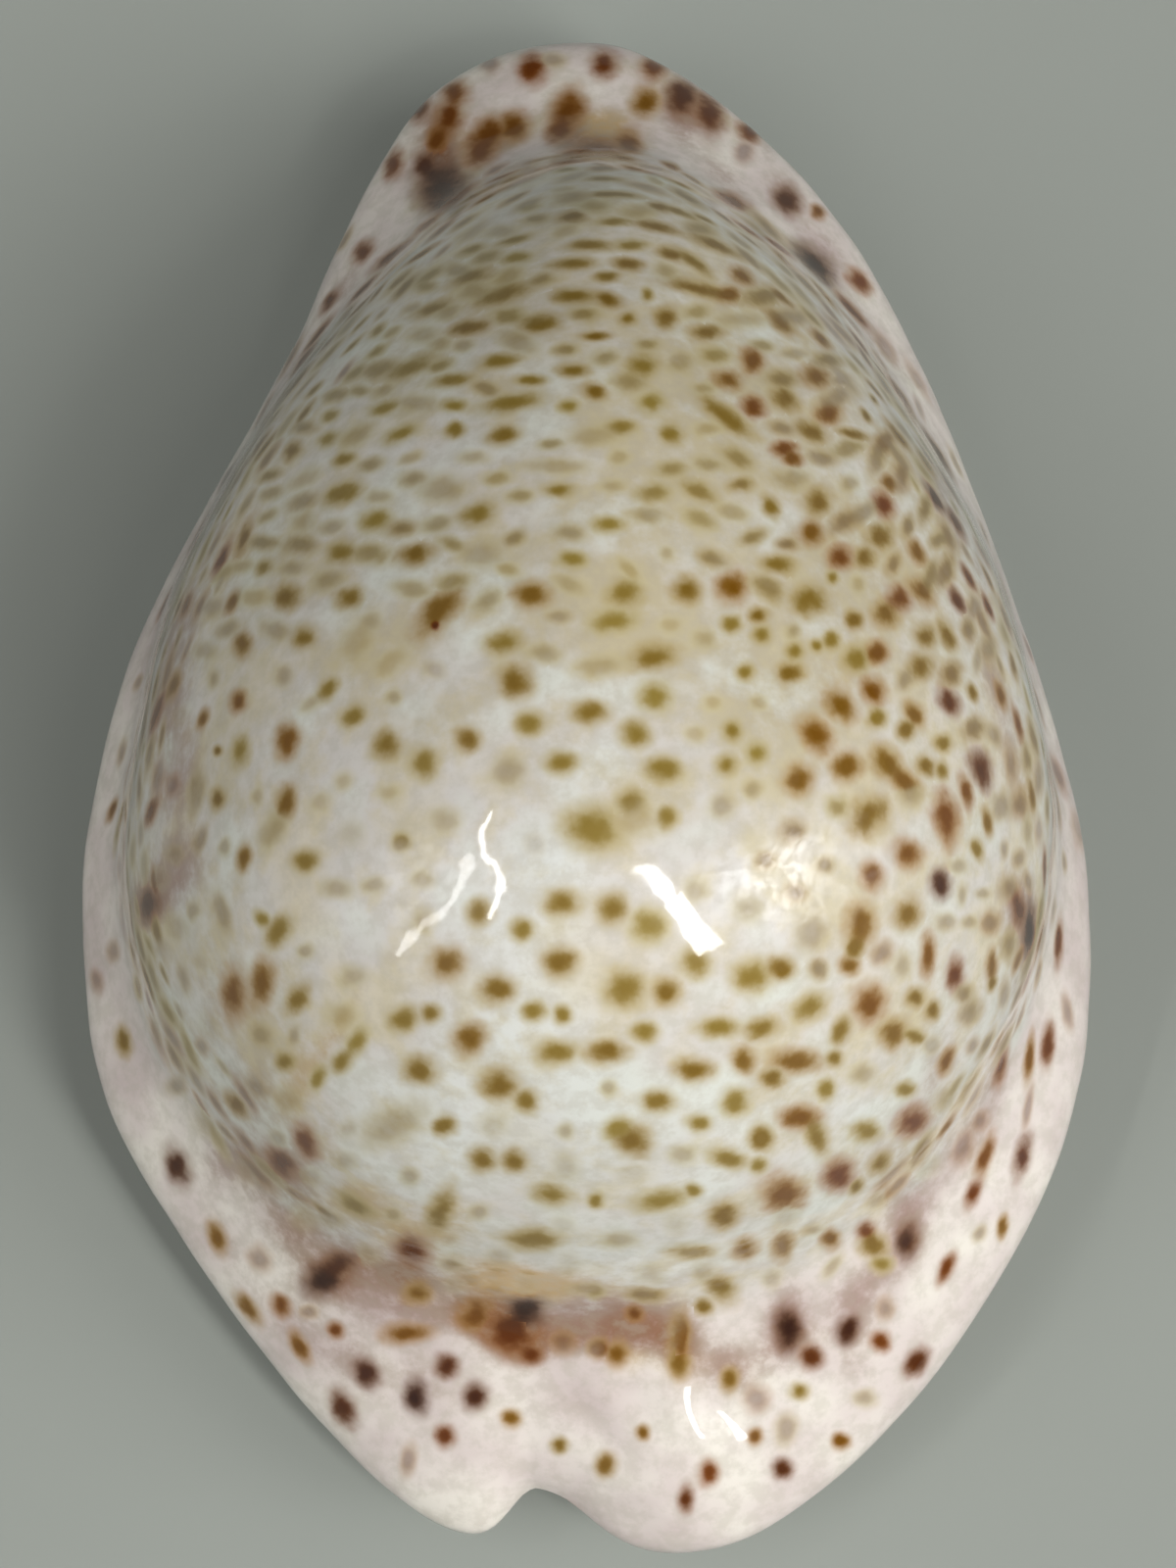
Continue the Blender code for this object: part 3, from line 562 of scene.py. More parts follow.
def cut_teeth(grid, turn, angle, past_slit):
    """Teeth: a cosine round the shell, faded by the distance from the slit, along the normal."""
    distance = np.linalg.norm(grid[:, :, :2] - slit_outline(angle), axis=2)
    on_outer_lip = smooth_step(-0.1, 0.1, np.cos(angle))
    reach = INNER_TEETH_REACH + (OUTER_TEETH_REACH - INNER_TEETH_REACH) * on_outer_lip
    on_base = 1 - smooth_step(0.35, 1.0, distance / reach)
    in_throat = 1 - smooth_step(0.3, 1.8, past_slit)[:, None]
    near_slit = np.where(past_slit[:, None] < 0, on_base, in_throat)
    near_slit *= smooth_step(-7.5, -6.0, past_slit)[:, None]
    along_sides = 1 - smooth_step(0.88, 0.97, np.abs(np.sin(angle)))
    ridge = 0.5 + 0.5 * np.cos(TEETH_ROUND * turn)
    shift = near_slit * along_sides * ((RIDGE_HEIGHT + GROOVE_DEPTH) * ridge - GROOVE_DEPTH)
    return grid + grid_normals(grid) * shift[:, :, None]


def unevenness(points, wavelength, height, seed):
    """A gentle waviness: the mean of a dozen sine waves that run through space in random directions."""
    random = np.random.default_rng(seed)
    total = np.zeros(points.shape[:-1])
    for _ in range(12):
        direction = random.normal(size=3)
        direction *= 2 * np.pi / wavelength / np.linalg.norm(direction) * random.uniform(0.7, 1.4)
        total += np.sin(points @ direction + random.uniform(0, 2 * np.pi))
    return total * height / 12**0.5


def row_steps():
    """Where the rows lie along the sections, close together where markings or teeth need it."""
    parts = [np.linspace(low, high, count, endpoint=False) for low, high, count in ROW_STRETCHES]
    return np.append(np.concatenate(parts), ROW_STRETCHES[-1][1])


def to_frame(grid):
    """Scales and shifts the grid so that it fills the box that the frame gives, in metres."""
    points = grid.copy()
    points[:, :, 2] = np.maximum(points[:, :, 2], 0)
    low, high = points.min(axis=(0, 1)), points.max(axis=(0, 1))
    return SHELL_LOW + (points - low) * (SHELL_HIGH - SHELL_LOW) / (high - low)


def unit(vectors):
    """Vectors brought to length 1."""
    return vectors / (np.linalg.norm(vectors, axis=-1, keepdims=True) + 1e-12)


def camera_axes():
    """The camera's right, up and backward directions, from its elevation over the back end."""
    tilt = np.radians(CAMERA_ELEVATION)
    back = np.array([0.0, -np.cos(tilt), np.sin(tilt)])
    right = np.array([1.0, 0.0, 0.0])
    return right, np.cross(back, right), back


CAMERA_PLACE = CAMERA_AIM + camera_axes()[2] * CAMERA_DISTANCE


def in_photo(points):
    """Where points fall in the photograph: their pinhole projection, in its pixels."""
    right, up, back = camera_axes()
    offset = points - CAMERA_PLACE
    depth = -(offset @ back)
    x = AIM_IN_PHOTO[0] + FOCAL_PX * (offset @ right) / depth
    y = AIM_IN_PHOTO[1] - FOCAL_PX * (offset @ up) / depth
    return x, y


def facing_camera(points, normals):
    """The cosine between the surface's normal and the direction to the camera."""
    return (normals * unit(CAMERA_PLACE - points)).sum(axis=-1)


def outer_count():
    """How many of the mesh's vertices, counted from the crown, lie on the shell's outside."""
    return 1 + COLUMNS * np.count_nonzero(row_steps()[1:] < LAST_OUTER_STEP)


def seen_vertices(points, normals):
    """The vertices of the outside that face the camera."""
    outer = outer_count()
    return np.flatnonzero(facing_camera(points[:outer], normals[:outer]) > BARELY_FACING)


def surface_under(pixels, points, normals):
    """For each pixel of the photograph, the point that faces the camera there, and its normal.

    The nearest point of the outside is moved in its tangent plane until it falls on the pixel.
    """
    pixels = np.asarray(pixels, float)
    seen = seen_vertices(points, normals)
    x, y = in_photo(points[seen])
    away = (x - pixels[:, :1]) ** 2 + (y - pixels[:, 1:]) ** 2
    index = seen[away.argmin(axis=1)]
    centre, normal = points[index], normals[index]
    right, up, back = camera_axes()
    aside = right * (pixels[:, :1] - AIM_IN_PHOTO[0]) - up * (pixels[:, 1:] - AIM_IN_PHOTO[1])
    aim = unit(aside - back * FOCAL_PX)
    gap = ((centre - CAMERA_PLACE) * normal).sum(1, keepdims=True)
    reach = gap / (aim * normal).sum(1, keepdims=True)
    moved = CAMERA_PLACE + aim * reach
    near = np.linalg.norm(moved - centre, axis=1, keepdims=True) < 0.4 * MM
    return np.where(near, moved, centre), normal


def by_eye(table):
    """A table of marks or clouds as an array, with its last column in ones instead of hundredths."""
    return np.array(table, float) / (1, 1, 1, 1, 1, 100)


def photo_marks(table, strength, points, normals):
    """Marks seen in the photograph, as ellipses on the surface's tangent plane.

    Each gets a centre, its normal, and two vectors. Their dot products with the way from the
    centre are the mark's own coordinates, 1 at its edge. They are the gradients of the pinhole
    projection, turned by the tilt, over about half the length and half the thickness. Where the
    surface is steep, its slope to the camera keeps the mark from growing too long down the slope.
    """
    length, thickness, tilt, tone = table.T[2:]
    centre, normal = surface_under(table[:, :2], points, normals)
    right, up, back = camera_axes()
    offset = centre - CAMERA_PLACE
    depth = -(offset @ back)[:, None]
    across = FOCAL_PX / depth * (right + (offset @ right)[:, None] / depth * back)
    upward = FOCAL_PX / depth * (up + (offset @ up)[:, None] / depth * back)
    turn = np.radians(tilt)[:, None]
    along = (across * np.cos(turn) + upward * np.sin(turn)) / (length * LENGTH_SHARE)[:, None]
    beside = (upward * np.cos(turn) - across * np.sin(turn)) / (thickness * THICKNESS_SHARE)[:, None]
    facing = np.clip(facing_camera(centre, normal), 0.12, 1)[:, None]
    downhill = unit(unit(CAMERA_PLACE - centre) - normal * facing)
    flatten = smooth_step(0.75, STEEP_FACING, facing)
    shorten = np.maximum(STEEP_FACING / facing, 1) - 1
    for gradient in (along, beside):
        gradient -= normal * (gradient * normal).sum(1, keepdims=True) * flatten
        gradient += downhill * (gradient * downhill).sum(1, keepdims=True) * shorten
    look = np.column_stack([tone, np.broadcast_to(strength, len(tone))])
    return centre, normal, along, beside, look


def spread_out(candidates, taken, points, spacing, stretch):
    """The candidates, in their order, that keep their spacing from all places taken before them.

    Distances along the shell count as longer by each candidate's stretch.
    """
    centres = list(taken)
    chosen = []
    for index in candidates:
        away = np.array(centres) - points[index]
        away[:, 1] *= stretch[index]
        if np.linalg.norm(away, axis=1).min() > spacing[index]:
            centres.append(points[index])
            chosen.append(index)
    return np.array(chosen)


def scattered_marks(taken, points, normals, steps):
    """Marks on the sides that the photograph hides: random places with a least distance between.

    The spacing, size and tone depend on the section: dense small olive and brown marks low on the
    dome, fewer and darker ones on the ledge and the margin, and a few faint ones on the base.
    """
    random = np.random.default_rng(11)
    hidden = facing_camera(points, normals) < np.where(steps > 9, -0.15, 0.3)
    off_floor = points[:, 2] > 0.2 * MM
    candidates = np.flatnonzero(hidden & (steps > 3.0) & (steps < 13.5) & off_floor)
    candidates = random.permutation(candidates)[:HIDDEN_TRIES]
    spacing = np.interp(steps, [3, 6.3, 7.4, 10, 11.5, 13.5], [1.0, 1.0, 1.5, 2.1, 2.6, 3.4]) * MM * 0.8
    chosen = spread_out(candidates, taken, points, spacing, np.ones(len(points)))
    centre, normal, step = points[chosen], normals[chosen], steps[chosen]
    count = len(chosen)
    level = unit(np.cross(np.array([0.0, 0.0, 1.0]), normal))
    rise = np.cross(normal, level)
    turn = random.normal(0, 0.5, count)[:, None]
    half = np.interp(step, [6, 8, 12], [0.36, 0.42, 0.3]) * MM * random.uniform(0.6, 1.35, count)
    shape = random.uniform(1.0, 1.9, count)
    along = (level * np.cos(turn) + rise * np.sin(turn)) / (half * shape**0.5)[:, None]
    beside = (rise * np.cos(turn) - level * np.sin(turn)) / (half / shape**0.5)[:, None]
    tone = np.interp(step, [4, 6.5, 8, 12], [0.45, 0.55, 0.72, 0.6]) + random.normal(0, 0.13, count)
    strength = np.interp(step, [6, 8, 10, 11, 13.5], [0.95, 0.8, 0.7, 0.45, 0.2])
    strength = strength * random.uniform(0.55, 1.0, count)
    look = np.column_stack([np.clip(tone, 0.3, 1.0), strength])
    return centre, normal, along, beside, look


def filling_marks(taken, points, normals, steps):
    """Faint small marks between the others where the photograph shows the dome.

    They stand closer on the front half and the right flank, and are long across the shell there.
    """
    random = np.random.default_rng(23)
    x, y = in_photo(points)
    shown = facing_camera(points, normals) > 0.3
    candidates = np.flatnonzero(shown & (steps > 0.3) & (steps < 6.9))
    candidates = random.permutation(candidates)[:SHOWN_TRIES]
    front = smooth_step(760, 560, y)
    right = smooth_step(700, 850, x) * smooth_step(1150, 1000, y)
    spacing = (1.1 - 0.26 * np.maximum(front, right)) * MM
    chosen = spread_out(candidates, taken, points, spacing, 1 + 0.5 * front)
    x, y, front, right = x[chosen], y[chosen], front[chosen], right[chosen]
    count = len(chosen)
    size = random.uniform(15, 27, count)
    shape = random.uniform(1.0, 1.5, count) + 0.9 * front
    slope = 12 * (620 - x) / 300 * front + 75 * right * smooth_step(800, 950, x)
    tilt = random.normal(0, 14, count) + slope
    tone = 0.36 + 0.16 * right + random.normal(0, 0.05, count)
    strength = random.uniform(0.2, 0.5, count) + 0.4 * np.maximum(front, right)
    table = np.column_stack([x, y, size * shape**0.5, size / shape**0.5, tilt, tone])
    return photo_marks(table, strength, points, normals)


def nearest_two(marks, centres, face_normals):
    """For each face, the two marks whose ellipses are nearest, in the marks' own coordinates."""
    centre, normal, along, beside, look = marks
    best = np.full((2, len(centres)), np.inf)
    which = np.zeros((2, len(centres)), int)
    for number in range(len(centre)):
        away = centres - centre[number]
        near = np.flatnonzero((np.abs(away) < MARK_REACH).all(axis=1))
        near = near[face_normals[near] @ normal[number] > 0.1]
        offset = away[near]
        distance = np.hypot(offset @ along[number], offset @ beside[number])
        first = distance < best[0, near]
        second = ~first & (distance < best[1, near])
        moved, placed = near[first], near[second]
        best[1, moved], which[1, moved] = best[0, moved], which[0, moved]
        best[0, moved], which[0, moved] = distance[first], number
        best[1, placed], which[1, placed] = distance[second], number
    return best, which


def cloud_share(table, points, normals):
    """How far each point lies in soft clouds: bell curves over the photograph, at most 1 in all."""
    x, y = in_photo(points)
    shown = smooth_step(-0.1, 0.25, facing_camera(points, normals)) * (points[:, 2] > 0.5 * MM)
    total = np.zeros(len(points))
    for mark_x, mark_y, length, thickness, tilt, strength in by_eye(table):
        turn = np.radians(tilt)
        dx, dy = x - mark_x, mark_y - y
        along = (dx * np.cos(turn) + dy * np.sin(turn)) / (length / 2)
        across = (dy * np.cos(turn) - dx * np.sin(turn)) / (thickness / 2)
        total += strength * np.exp(-1.2 * (along**2 + across**2))
    total[outer_count():] = 0
    return np.minimum(total, 1.0) * shown


def crowding(marks, points):
    """The share of the surface that marks cover, as a bell-weighted mean over the places around."""
    centre, normal, along, beside, look = marks
    radius = CROWDING_RADIUS
    share = np.zeros(len(points))
    area = 1 / (np.linalg.norm(along, axis=1) * np.linalg.norm(beside, axis=1)) / radius**2
    for number in range(len(centre)):
        near = np.flatnonzero((np.abs(points - centre[number]) < 2.5 * radius).all(axis=1))
        away = ((points[near] - centre[number]) ** 2).sum(axis=1)
        share[near] += look[number, 1] * area[number] * np.exp(-away / radius**2)
    return share


def new_mesh(name, grid):
    """A closed mesh of a grid of rings whose first and last rows are single points."""
    rows, columns = grid.shape[:2]
    rings = grid[1:-1]
    points = np.vstack([grid[0].mean(axis=0), rings.reshape(-1, 3), grid[-1].mean(axis=0)])
    start = 1 + np.arange(rows - 3)[:, None] * columns
    here = np.arange(columns)[None, :]
    after = (here + 1) % columns
    quads = np.stack([start + here, start + columns + here, start + columns + after, start + after], 2)
    first = 1 + np.stack([0 * here - 1, here, after], 2)[0]
    last_ring = 1 + (rows - 3) * columns
    last = np.stack([last_ring + after, last_ring + here, 0 * here + len(points) - 1], 2)[0]
    mesh = bpy.data.meshes.new(name)
    faces = first.tolist() + quads.reshape(-1, 4).tolist() + last.tolist()
    mesh.from_pydata(points.tolist(), [], faces)
    mesh.shade_smooth()
    return mesh


def read(collection, name, width, kind=float):
    """One property of all vertices, loops or faces of a mesh, as an array."""
    values = np.zeros(len(collection) * width, kind)
    collection.foreach_get(name, values)
    return values.reshape(-1, width) if width > 1 else values


def add_attribute(mesh, name, domain, values):
    """Stores three values per vertex or face corner under one name, which the material reads."""
    layer = mesh.attributes.new(name, "FLOAT_VECTOR", domain)
    layer.data.foreach_set("vector", values.astype(np.float32).ravel())


def flat_of_grid(values):
    """A grid of values as one per vertex of the closed mesh."""
    return np.concatenate([[values[0].mean()], values[1:-1].ravel(), [values[-1].mean()]])


def paint_marks(mesh, steps):
    """Stores what the enamel's material needs: each face corner's place in its two nearest marks."""
    points, normals = read(mesh.vertices, "co", 3), read(mesh.vertices, "normal", 3)
    clear = FRONT_LEDGE_SPOTS + UPPER_DOME_SPOTS + RIGHT_SPOTS + MIDDLE_SPOTS + LOWER_SPOTS + BACK_SPOTS
    groups = [photo_marks(by_eye(table), strength, points, normals)
              for table, strength in ((clear, 1.0), (FAINT_SPOTS, FAINT_STRENGTH))]
    taken = np.concatenate([group[0] for group in groups])
    groups.append(scattered_marks(taken, points, normals, steps))
    groups.append(filling_marks(taken, points, normals, steps))
    marks = [np.concatenate(parts) for parts in zip(*groups)]
    centre, normal, along, beside, look = marks

    best, which = nearest_two(marks, read(mesh.polygons, "center", 3), read(mesh.polygons, "normal", 3))
    face_of_corner = np.repeat(np.arange(len(mesh.polygons)), read(mesh.polygons, "loop_total", 1, int))
    corner_points = points[read(mesh.loops, "vertex_index", 1, int)]
    strengths = np.zeros((len(corner_points), 3))
    for layer, name in enumerate(("nearest_mark", "next_mark")):
        mark = which[layer][face_of_corner]
        offset = corner_points - centre[mark]
        place = np.column_stack([(offset * along[mark]).sum(1), (offset * beside[mark]).sum(1)])
        place[best[layer][face_of_corner] > LAST_SHOWN] = NOT_SHOWN
        add_attribute(mesh, name, "CORNER", np.column_stack([place, look[mark, 0]]))
        strengths[:, layer] = look[mark, 1]
    # Brown washes, partly painted shade along the dome's foot at the back
    brown = cloud_share(BROWN_AND_SHADE_CLOUDS, points, normals)
    strengths[:, 2] = brown[read(mesh.loops, "vertex_index", 1, int)]
    add_attribute(mesh, "mark_strengths", "CORNER", strengths)

    callus = smooth_step(6.1, 7.6, steps)
    cloud = cloud_share(BEIGE_CLOUDS, points, normals) - cloud_share(PALE_CLOUDS, points, normals)
    add_attribute(mesh, "ground", "POINT", np.column_stack([callus, cloud, smooth_step(10.2, 12.5, steps)]))
    # Purple tint, partly painted shade in the crease along the dome's foot
    purple_and_shade = cloud_share(PURPLE_AND_SHADE_CLOUDS, points, normals)
    ochre = cloud_share(OCHRE_CLOUDS, points, normals)
    add_attribute(mesh, "clouds", "POINT", np.column_stack([purple_and_shade, ochre, crowding(marks, points)]))


def make_shell():
    """The whole shell, with its markings stored on its vertices and face corners."""
    steps = row_steps()
    grid = loft(COLUMNS, steps)
    outside = 1 - smooth_step(10.0, 12.0, steps[:, None])
    shift = unevenness(grid, 7.0, 0.05, 4) + unevenness(grid, 2.4, 0.012, 5)
    x, y = in_photo(to_frame(grid))
    lumpy = np.exp(-((x - LUMPS_X) / LUMPS_REACH) ** 2 - ((y - LUMPS_Y) / LUMPS_REACH) ** 2)
    shift += lumpy * unevenness(grid, 1.5, 0.07, 8)
    for swelling_x, swelling_y, reach, height in SWELLINGS:
        away = np.hypot(x - swelling_x, y - swelling_y) / reach
        shift += height * np.exp(-away**2)
    grid = to_frame(grid + grid_normals(grid) * (shift * outside)[:, :, None])
    mesh = new_mesh("shell", grid)
    paint_marks(mesh, flat_of_grid(np.broadcast_to(steps[:, None], grid.shape[:2])))
    shell = bpy.data.objects.new("shell", mesh)
    bpy.context.scene.collection.objects.link(shell)
    return shell


def colour(red, green, blue):
    """A colour given as it looks on a screen, 0 to 255, as linear light with alpha 1."""
    value = np.array([red, green, blue]) / 255
    linear = np.where(value <= 0.04045, value / 12.92, ((value + 0.055) / 1.055) ** 2.4)
    return (*linear.tolist(), 1.0)


def put(tree, kind, inputs=(), **settings):
    """Adds a node, sets its options, and gives each named input a value or a link."""
    made = tree.nodes.new(kind)
    for name, value in settings.items():
        setattr(made, name, value)
    for name, value in dict(inputs).items():
        if isinstance(value, bpy.types.NodeSocket):
            tree.links.new(value, made.inputs[name])
        else:
            made.inputs[name].default_value = value
    return made


def math(tree, operation, *values):
    """A Math node on up to three values."""
    return put(tree, "ShaderNodeMath", enumerate(values), operation=operation).outputs[0]


def fade(tree, value, low, high, bottom=0.0, top=1.0):
    """A smooth step between low and high, from bottom to top."""
    inputs = {"Value": value, "From Min": low, "From Max": high, "To Min": bottom, "To Max": top}
    return put(tree, "ShaderNodeMapRange", inputs, interpolation_type="SMOOTHSTEP").outputs[0]


def mix(tree, share, low, high):
    """One colour laid over another by a share."""
    return put(tree, "ShaderNodeMix", {0: share, 6: low, 7: high}, data_type="RGBA").outputs[2]


def tint(tree, share, below, shade):
    """A plain colour, given as it looks on a screen, laid over what is below by a share."""
    return mix(tree, share, below, colour(*shade))


def ramp(tree, value, stops):
    """A colour ramp from a value, with stops of position, red, green and blue."""
    made = put(tree, "ShaderNodeValToRGB", {0: value})
    elements = made.color_ramp.elements
    while len(elements) < len(stops):
        elements.new(0.5)
    for element, (position, *shade) in zip(elements, stops):
        element.position = position
        element.color = colour(*shade)
    return made.outputs[0]


def parts_of(tree, name):
    """The three values of a mesh attribute."""
    vector = put(tree, "ShaderNodeAttribute", attribute_name=name).outputs["Vector"]
    return put(tree, "ShaderNodeSeparateXYZ", {0: vector}).outputs


def dot(tree, vector, other):
    """The dot product of two vectors."""
    made = put(tree, "ShaderNodeVectorMath", {0: vector, 1: other}, operation="DOT_PRODUCT")
    return made.outputs["Value"]


def noise(tree, place, wavelength, detail, roughness=0.5):
    """Soft noise with features of about one wavelength, given in metres."""
    inputs = {"Vector": place, "Scale": 1 / wavelength, "Detail": detail, "Roughness": roughness}
    return put(tree, "ShaderNodeTexNoise", inputs)


def nearest_marks(tree, place):
    """How near the two nearest marks are, as q, and their tone and strength, by noise and bells.

    Noise shifts the place in each mark's own coordinates a little. The two bell curves there are
    summed, so neighbours melt together: q squared is minus the logarithm of that sum, over the
    bells' steepness. Tone and strength are means that the bells weight.
    """
    shift = noise(tree, place, WOBBLE_WAVE, 3.0).outputs["Color"]
    wobble = put(tree, "ShaderNodeSeparateXYZ", {0: shift}).outputs
    strengths = parts_of(tree, "mark_strengths")
    bells = []
    for number, name in enumerate(("nearest_mark", "next_mark")):
        own = parts_of(tree, name)
        shifted = [math(tree, "MULTIPLY_ADD", wobble[i], WOBBLE, math(tree, "SUBTRACT", own[i], WOBBLE / 2))
                   for i in (0, 1)]
        squared = math(tree, "MULTIPLY_ADD", shifted[0], shifted[0],
                       math(tree, "MULTIPLY", shifted[1], shifted[1]))
        bell = math(tree, "EXPONENT", math(tree, "MULTIPLY", squared, -BELL_STEEPNESS))
        bells.append((bell, own[2], strengths[number]))
    total = math(tree, "ADD", math(tree, "ADD", bells[0][0], bells[1][0]), 1e-9)
    mean = []
    for part in (1, 2):
        weighted = math(tree, "MULTIPLY_ADD", bells[0][0], bells[0][part],
                        math(tree, "MULTIPLY", bells[1][0], bells[1][part]))
        mean.append(math(tree, "DIVIDE", weighted, total))
    logarithm = math(tree, "LOGARITHM", total, np.e)
    q_squared = math(tree, "MAXIMUM", math(tree, "DIVIDE", logarithm, -BELL_STEEPNESS), 0.0)
    return math(tree, "SQRT", q_squared), *mean


def enamel_ground(tree, fine, grain, patches, middling):
    """The enamel between the marks: a mottled back, a callus on the margins, and soft washes, the purple
    and brown ones partly painted shade in the crease along the dome's foot.
    """
    callus_ground, cloud_ground, base_ground = parts_of(tree, "ground")
    purple_and_shade, ochre, crowded = parts_of(tree, "clouds")
    # The third strength is the brown wash, partly painted shade along the dome's foot at the back
    brown = parts_of(tree, "mark_strengths")[2]
    from_middle = math(tree, "SUBTRACT", patches, 0.5)

    broken = math(tree, "MULTIPLY", math(tree, "MULTIPLY_ADD", middling, 2.4, -0.3), cloud_ground)
    cloud = math(tree, "MULTIPLY_ADD", from_middle, 0.9, broken)
    dorsum = tint(tree, fade(tree, cloud, 0.05, 0.9), ramp(tree, patches, DORSUM_COLOURS), BEIGE)
    dorsum = tint(tree, fade(tree, cloud, -0.05, -0.8), dorsum, PALE)
    dorsum = tint(tree, fade(tree, middling, 0.47, 0.7, 0.0, 0.6), dorsum, STRAW)
    callus_share = math(tree, "MULTIPLY_ADD", from_middle, 0.9, callus_ground)
    callus = ramp(tree, patches, CALLUS_COLOURS)
    ground = mix(tree, fade(tree, callus_share, 0.25, 0.85), dorsum, callus)
    ground = tint(tree, base_ground, ground, BASE_CREAM)

    # Each wash: its share, the noise that varies it with a gain and an offset, where it starts and
    # is full, its strongest share, and its colour
    washes = [
        (crowded, middling, 1.4, 0.25, 0.1, 0.7, 0.75, CROWDED_TAN),
        # purple tint, partly painted shade in the crease at the dome's foot
        (purple_and_shade, middling, 1.4, 0.25, 0.05, 0.85, 0.85, PURPLE_AND_SHADE),
        (ochre, middling, 1.4, 0.25, 0.05, 0.8, 0.85, OCHRE),
        # brown, partly painted shade in the crease at the dome's foot at the back
        (brown, patches, 1.8, 0.15, 0.05, 0.75, 0.9, BROWN_AND_SHADE),
    ]
    for share, texture, gain, offset, low, high, strongest, shade in washes:
        varied = math(tree, "MULTIPLY_ADD", texture, gain, offset)
        wash = math(tree, "MULTIPLY", varied, math(tree, "MULTIPLY", share, grain))
        ground = tint(tree, fade(tree, wash, low, high, 0.0, strongest), ground, shade)
    return tint(tree, fade(tree, fine, 0.38, 0.66, 0.0, 0.34), ground, MOTTLING)


def shell_material():
    """Speckled glossy enamel: marks over a clouded ground, a deeper core in each, and faint waves.

    A mark is full up to q = 0.4 and gone at q = 1.75. Fine noise makes its edge ragged.
    """
    material = bpy.data.materials.new("speckled_enamel")
    material.use_nodes = True
    tree = material.node_tree
    shader = tree.nodes["Principled BSDF"]
    place = put(tree, "ShaderNodeTexCoord").outputs["Object"]
    fine = noise(tree, place, FINE_WAVE, 4.0, 0.6).outputs[0]
    grain = fade(tree, fine, 0.3, 0.7, 0.7, 1.15)
    patches = noise(tree, place, PATCH_WAVE, 3.0).outputs[0]
    middling = noise(tree, place, MIDDLE_WAVE, 4.0, 0.6).outputs[0]

    smooth_q, tone, strength = nearest_marks(tree, place)
    q = math(tree, "MULTIPLY_ADD", math(tree, "SUBTRACT", fine, 0.5), 0.6, smooth_q)
    body = math(tree, "MULTIPLY", fade(tree, q, 1.75, 0.4), strength)
    core = fade(tree, q, 1.2, 0.15)
    mark = mix(tree, core, ramp(tree, tone, RIM_COLOURS), ramp(tree, tone, CORE_COLOURS))
    ground = enamel_ground(tree, fine, grain, patches, middling)

    tree.links.new(mix(tree, body, ground, mark), shader.inputs["Base Color"])
    waves = noise(tree, place, GLOSS_WAVE, 1.5).outputs[0]
    bump = put(tree, "ShaderNodeBump", {"Height": waves, "Strength": 0.25, "Distance": 0.06 * MM})
    tree.links.new(bump.outputs[0], shader.inputs["Normal"])
    shader.inputs["Roughness"].default_value = 0.06
    shader.inputs["IOR"].default_value = 1.42
    shader.inputs["Coat Weight"].default_value = 0.15
    shader.inputs["Coat Roughness"].default_value = 0.3
    return material


def floor_material():
    """A plain pale matt surface, faintly mottled."""
    material = bpy.data.materials.new("pale_surface")
    material.use_nodes = True
    tree = material.node_tree
    shader = tree.nodes["Principled BSDF"]
    place = put(tree, "ShaderNodeTexCoord").outputs["Object"]
    shade = ramp(tree, noise(tree, place, 30 * MM, 3.0).outputs[0], SURFACE_COLOURS)
    tree.links.new(shade, shader.inputs["Base Color"])
    shader.inputs["Roughness"].default_value = 0.7
    return material


def make_floor():
    """A large flat square under the shell."""
    mesh = bpy.data.meshes.new("floor")
    half = 1.5
    corners = [(-half, -half, 0), (half, -half, 0), (half, half, 0), (-half, half, 0)]
    mesh.from_pydata(corners, [], [(0, 1, 2, 3)])
    mesh.materials.append(floor_material())
    floor = bpy.data.objects.new("floor", mesh)
    bpy.context.scene.collection.objects.link(floor)
    return floor


def turned(right, up, back, place):
    """A matrix from three axes and a place."""
    columns = zip(right, up, back, place)
    return Matrix([list(row) for row in columns] + [[0, 0, 0, 1]])


def make_camera():
    """A camera whose pixels are those of the photograph."""
    data = bpy.data.cameras.new("camera")
    data.lens = FOCAL_PX * SENSOR_MM / PHOTO_HEIGHT
    data.sensor_width = SENSOR_MM
    data.shift_x = (PHOTO_WIDTH / 2 - AIM_IN_PHOTO[0]) / PHOTO_HEIGHT
    data.shift_y = (AIM_IN_PHOTO[1] - PHOTO_HEIGHT / 2) / PHOTO_HEIGHT
    data.clip_start = 0.005
    camera = bpy.data.objects.new("camera", data)
    camera.matrix_world = turned(*camera_axes(), CAMERA_PLACE)
    bpy.context.scene.collection.objects.link(camera)
    bpy.context.scene.camera = camera


def area_light(name, place, axes, size, radiance):
    """A rectangular light: its power is pi times its area times the radiance wanted of it."""
    data = bpy.data.lights.new(name, "AREA")
    data.shape = "RECTANGLE"
    data.size, data.size_y = size
    data.energy = np.pi * size[0] * size[1] * radiance
    light = bpy.data.objects.new(name, data)
    light.matrix_world = turned(*axes, place)
    bpy.context.scene.collection.objects.link(light)


def mirror_places(pixels, shell, distance):
    """Where a lamp must be for its reflection to show at each pixel of the photograph.

    The normal there is a mean of the outside's normals, weighted by a bell curve over the pixels.
    """
    points, normals = read(shell.data.vertices, "co", 3), read(shell.data.vertices, "normal", 3)
    centre, normal = surface_under(pixels, points, normals)
    seen = seen_vertices(points, normals)
    x, y = in_photo(points[seen])
    pixels = np.asarray(pixels, float)
    away = (x - pixels[:, :1]) ** 2 + (y - pixels[:, 1:]) ** 2
    normal = unit(np.exp(-away / MIRROR_PIXELS**2) @ normals[seen] + 1e-6 * normal)
    view = unit(centre - CAMERA_PLACE)
    bounce = view - 2 * (view * normal).sum(1, keepdims=True) * normal
    return centre + bounce * distance, centre


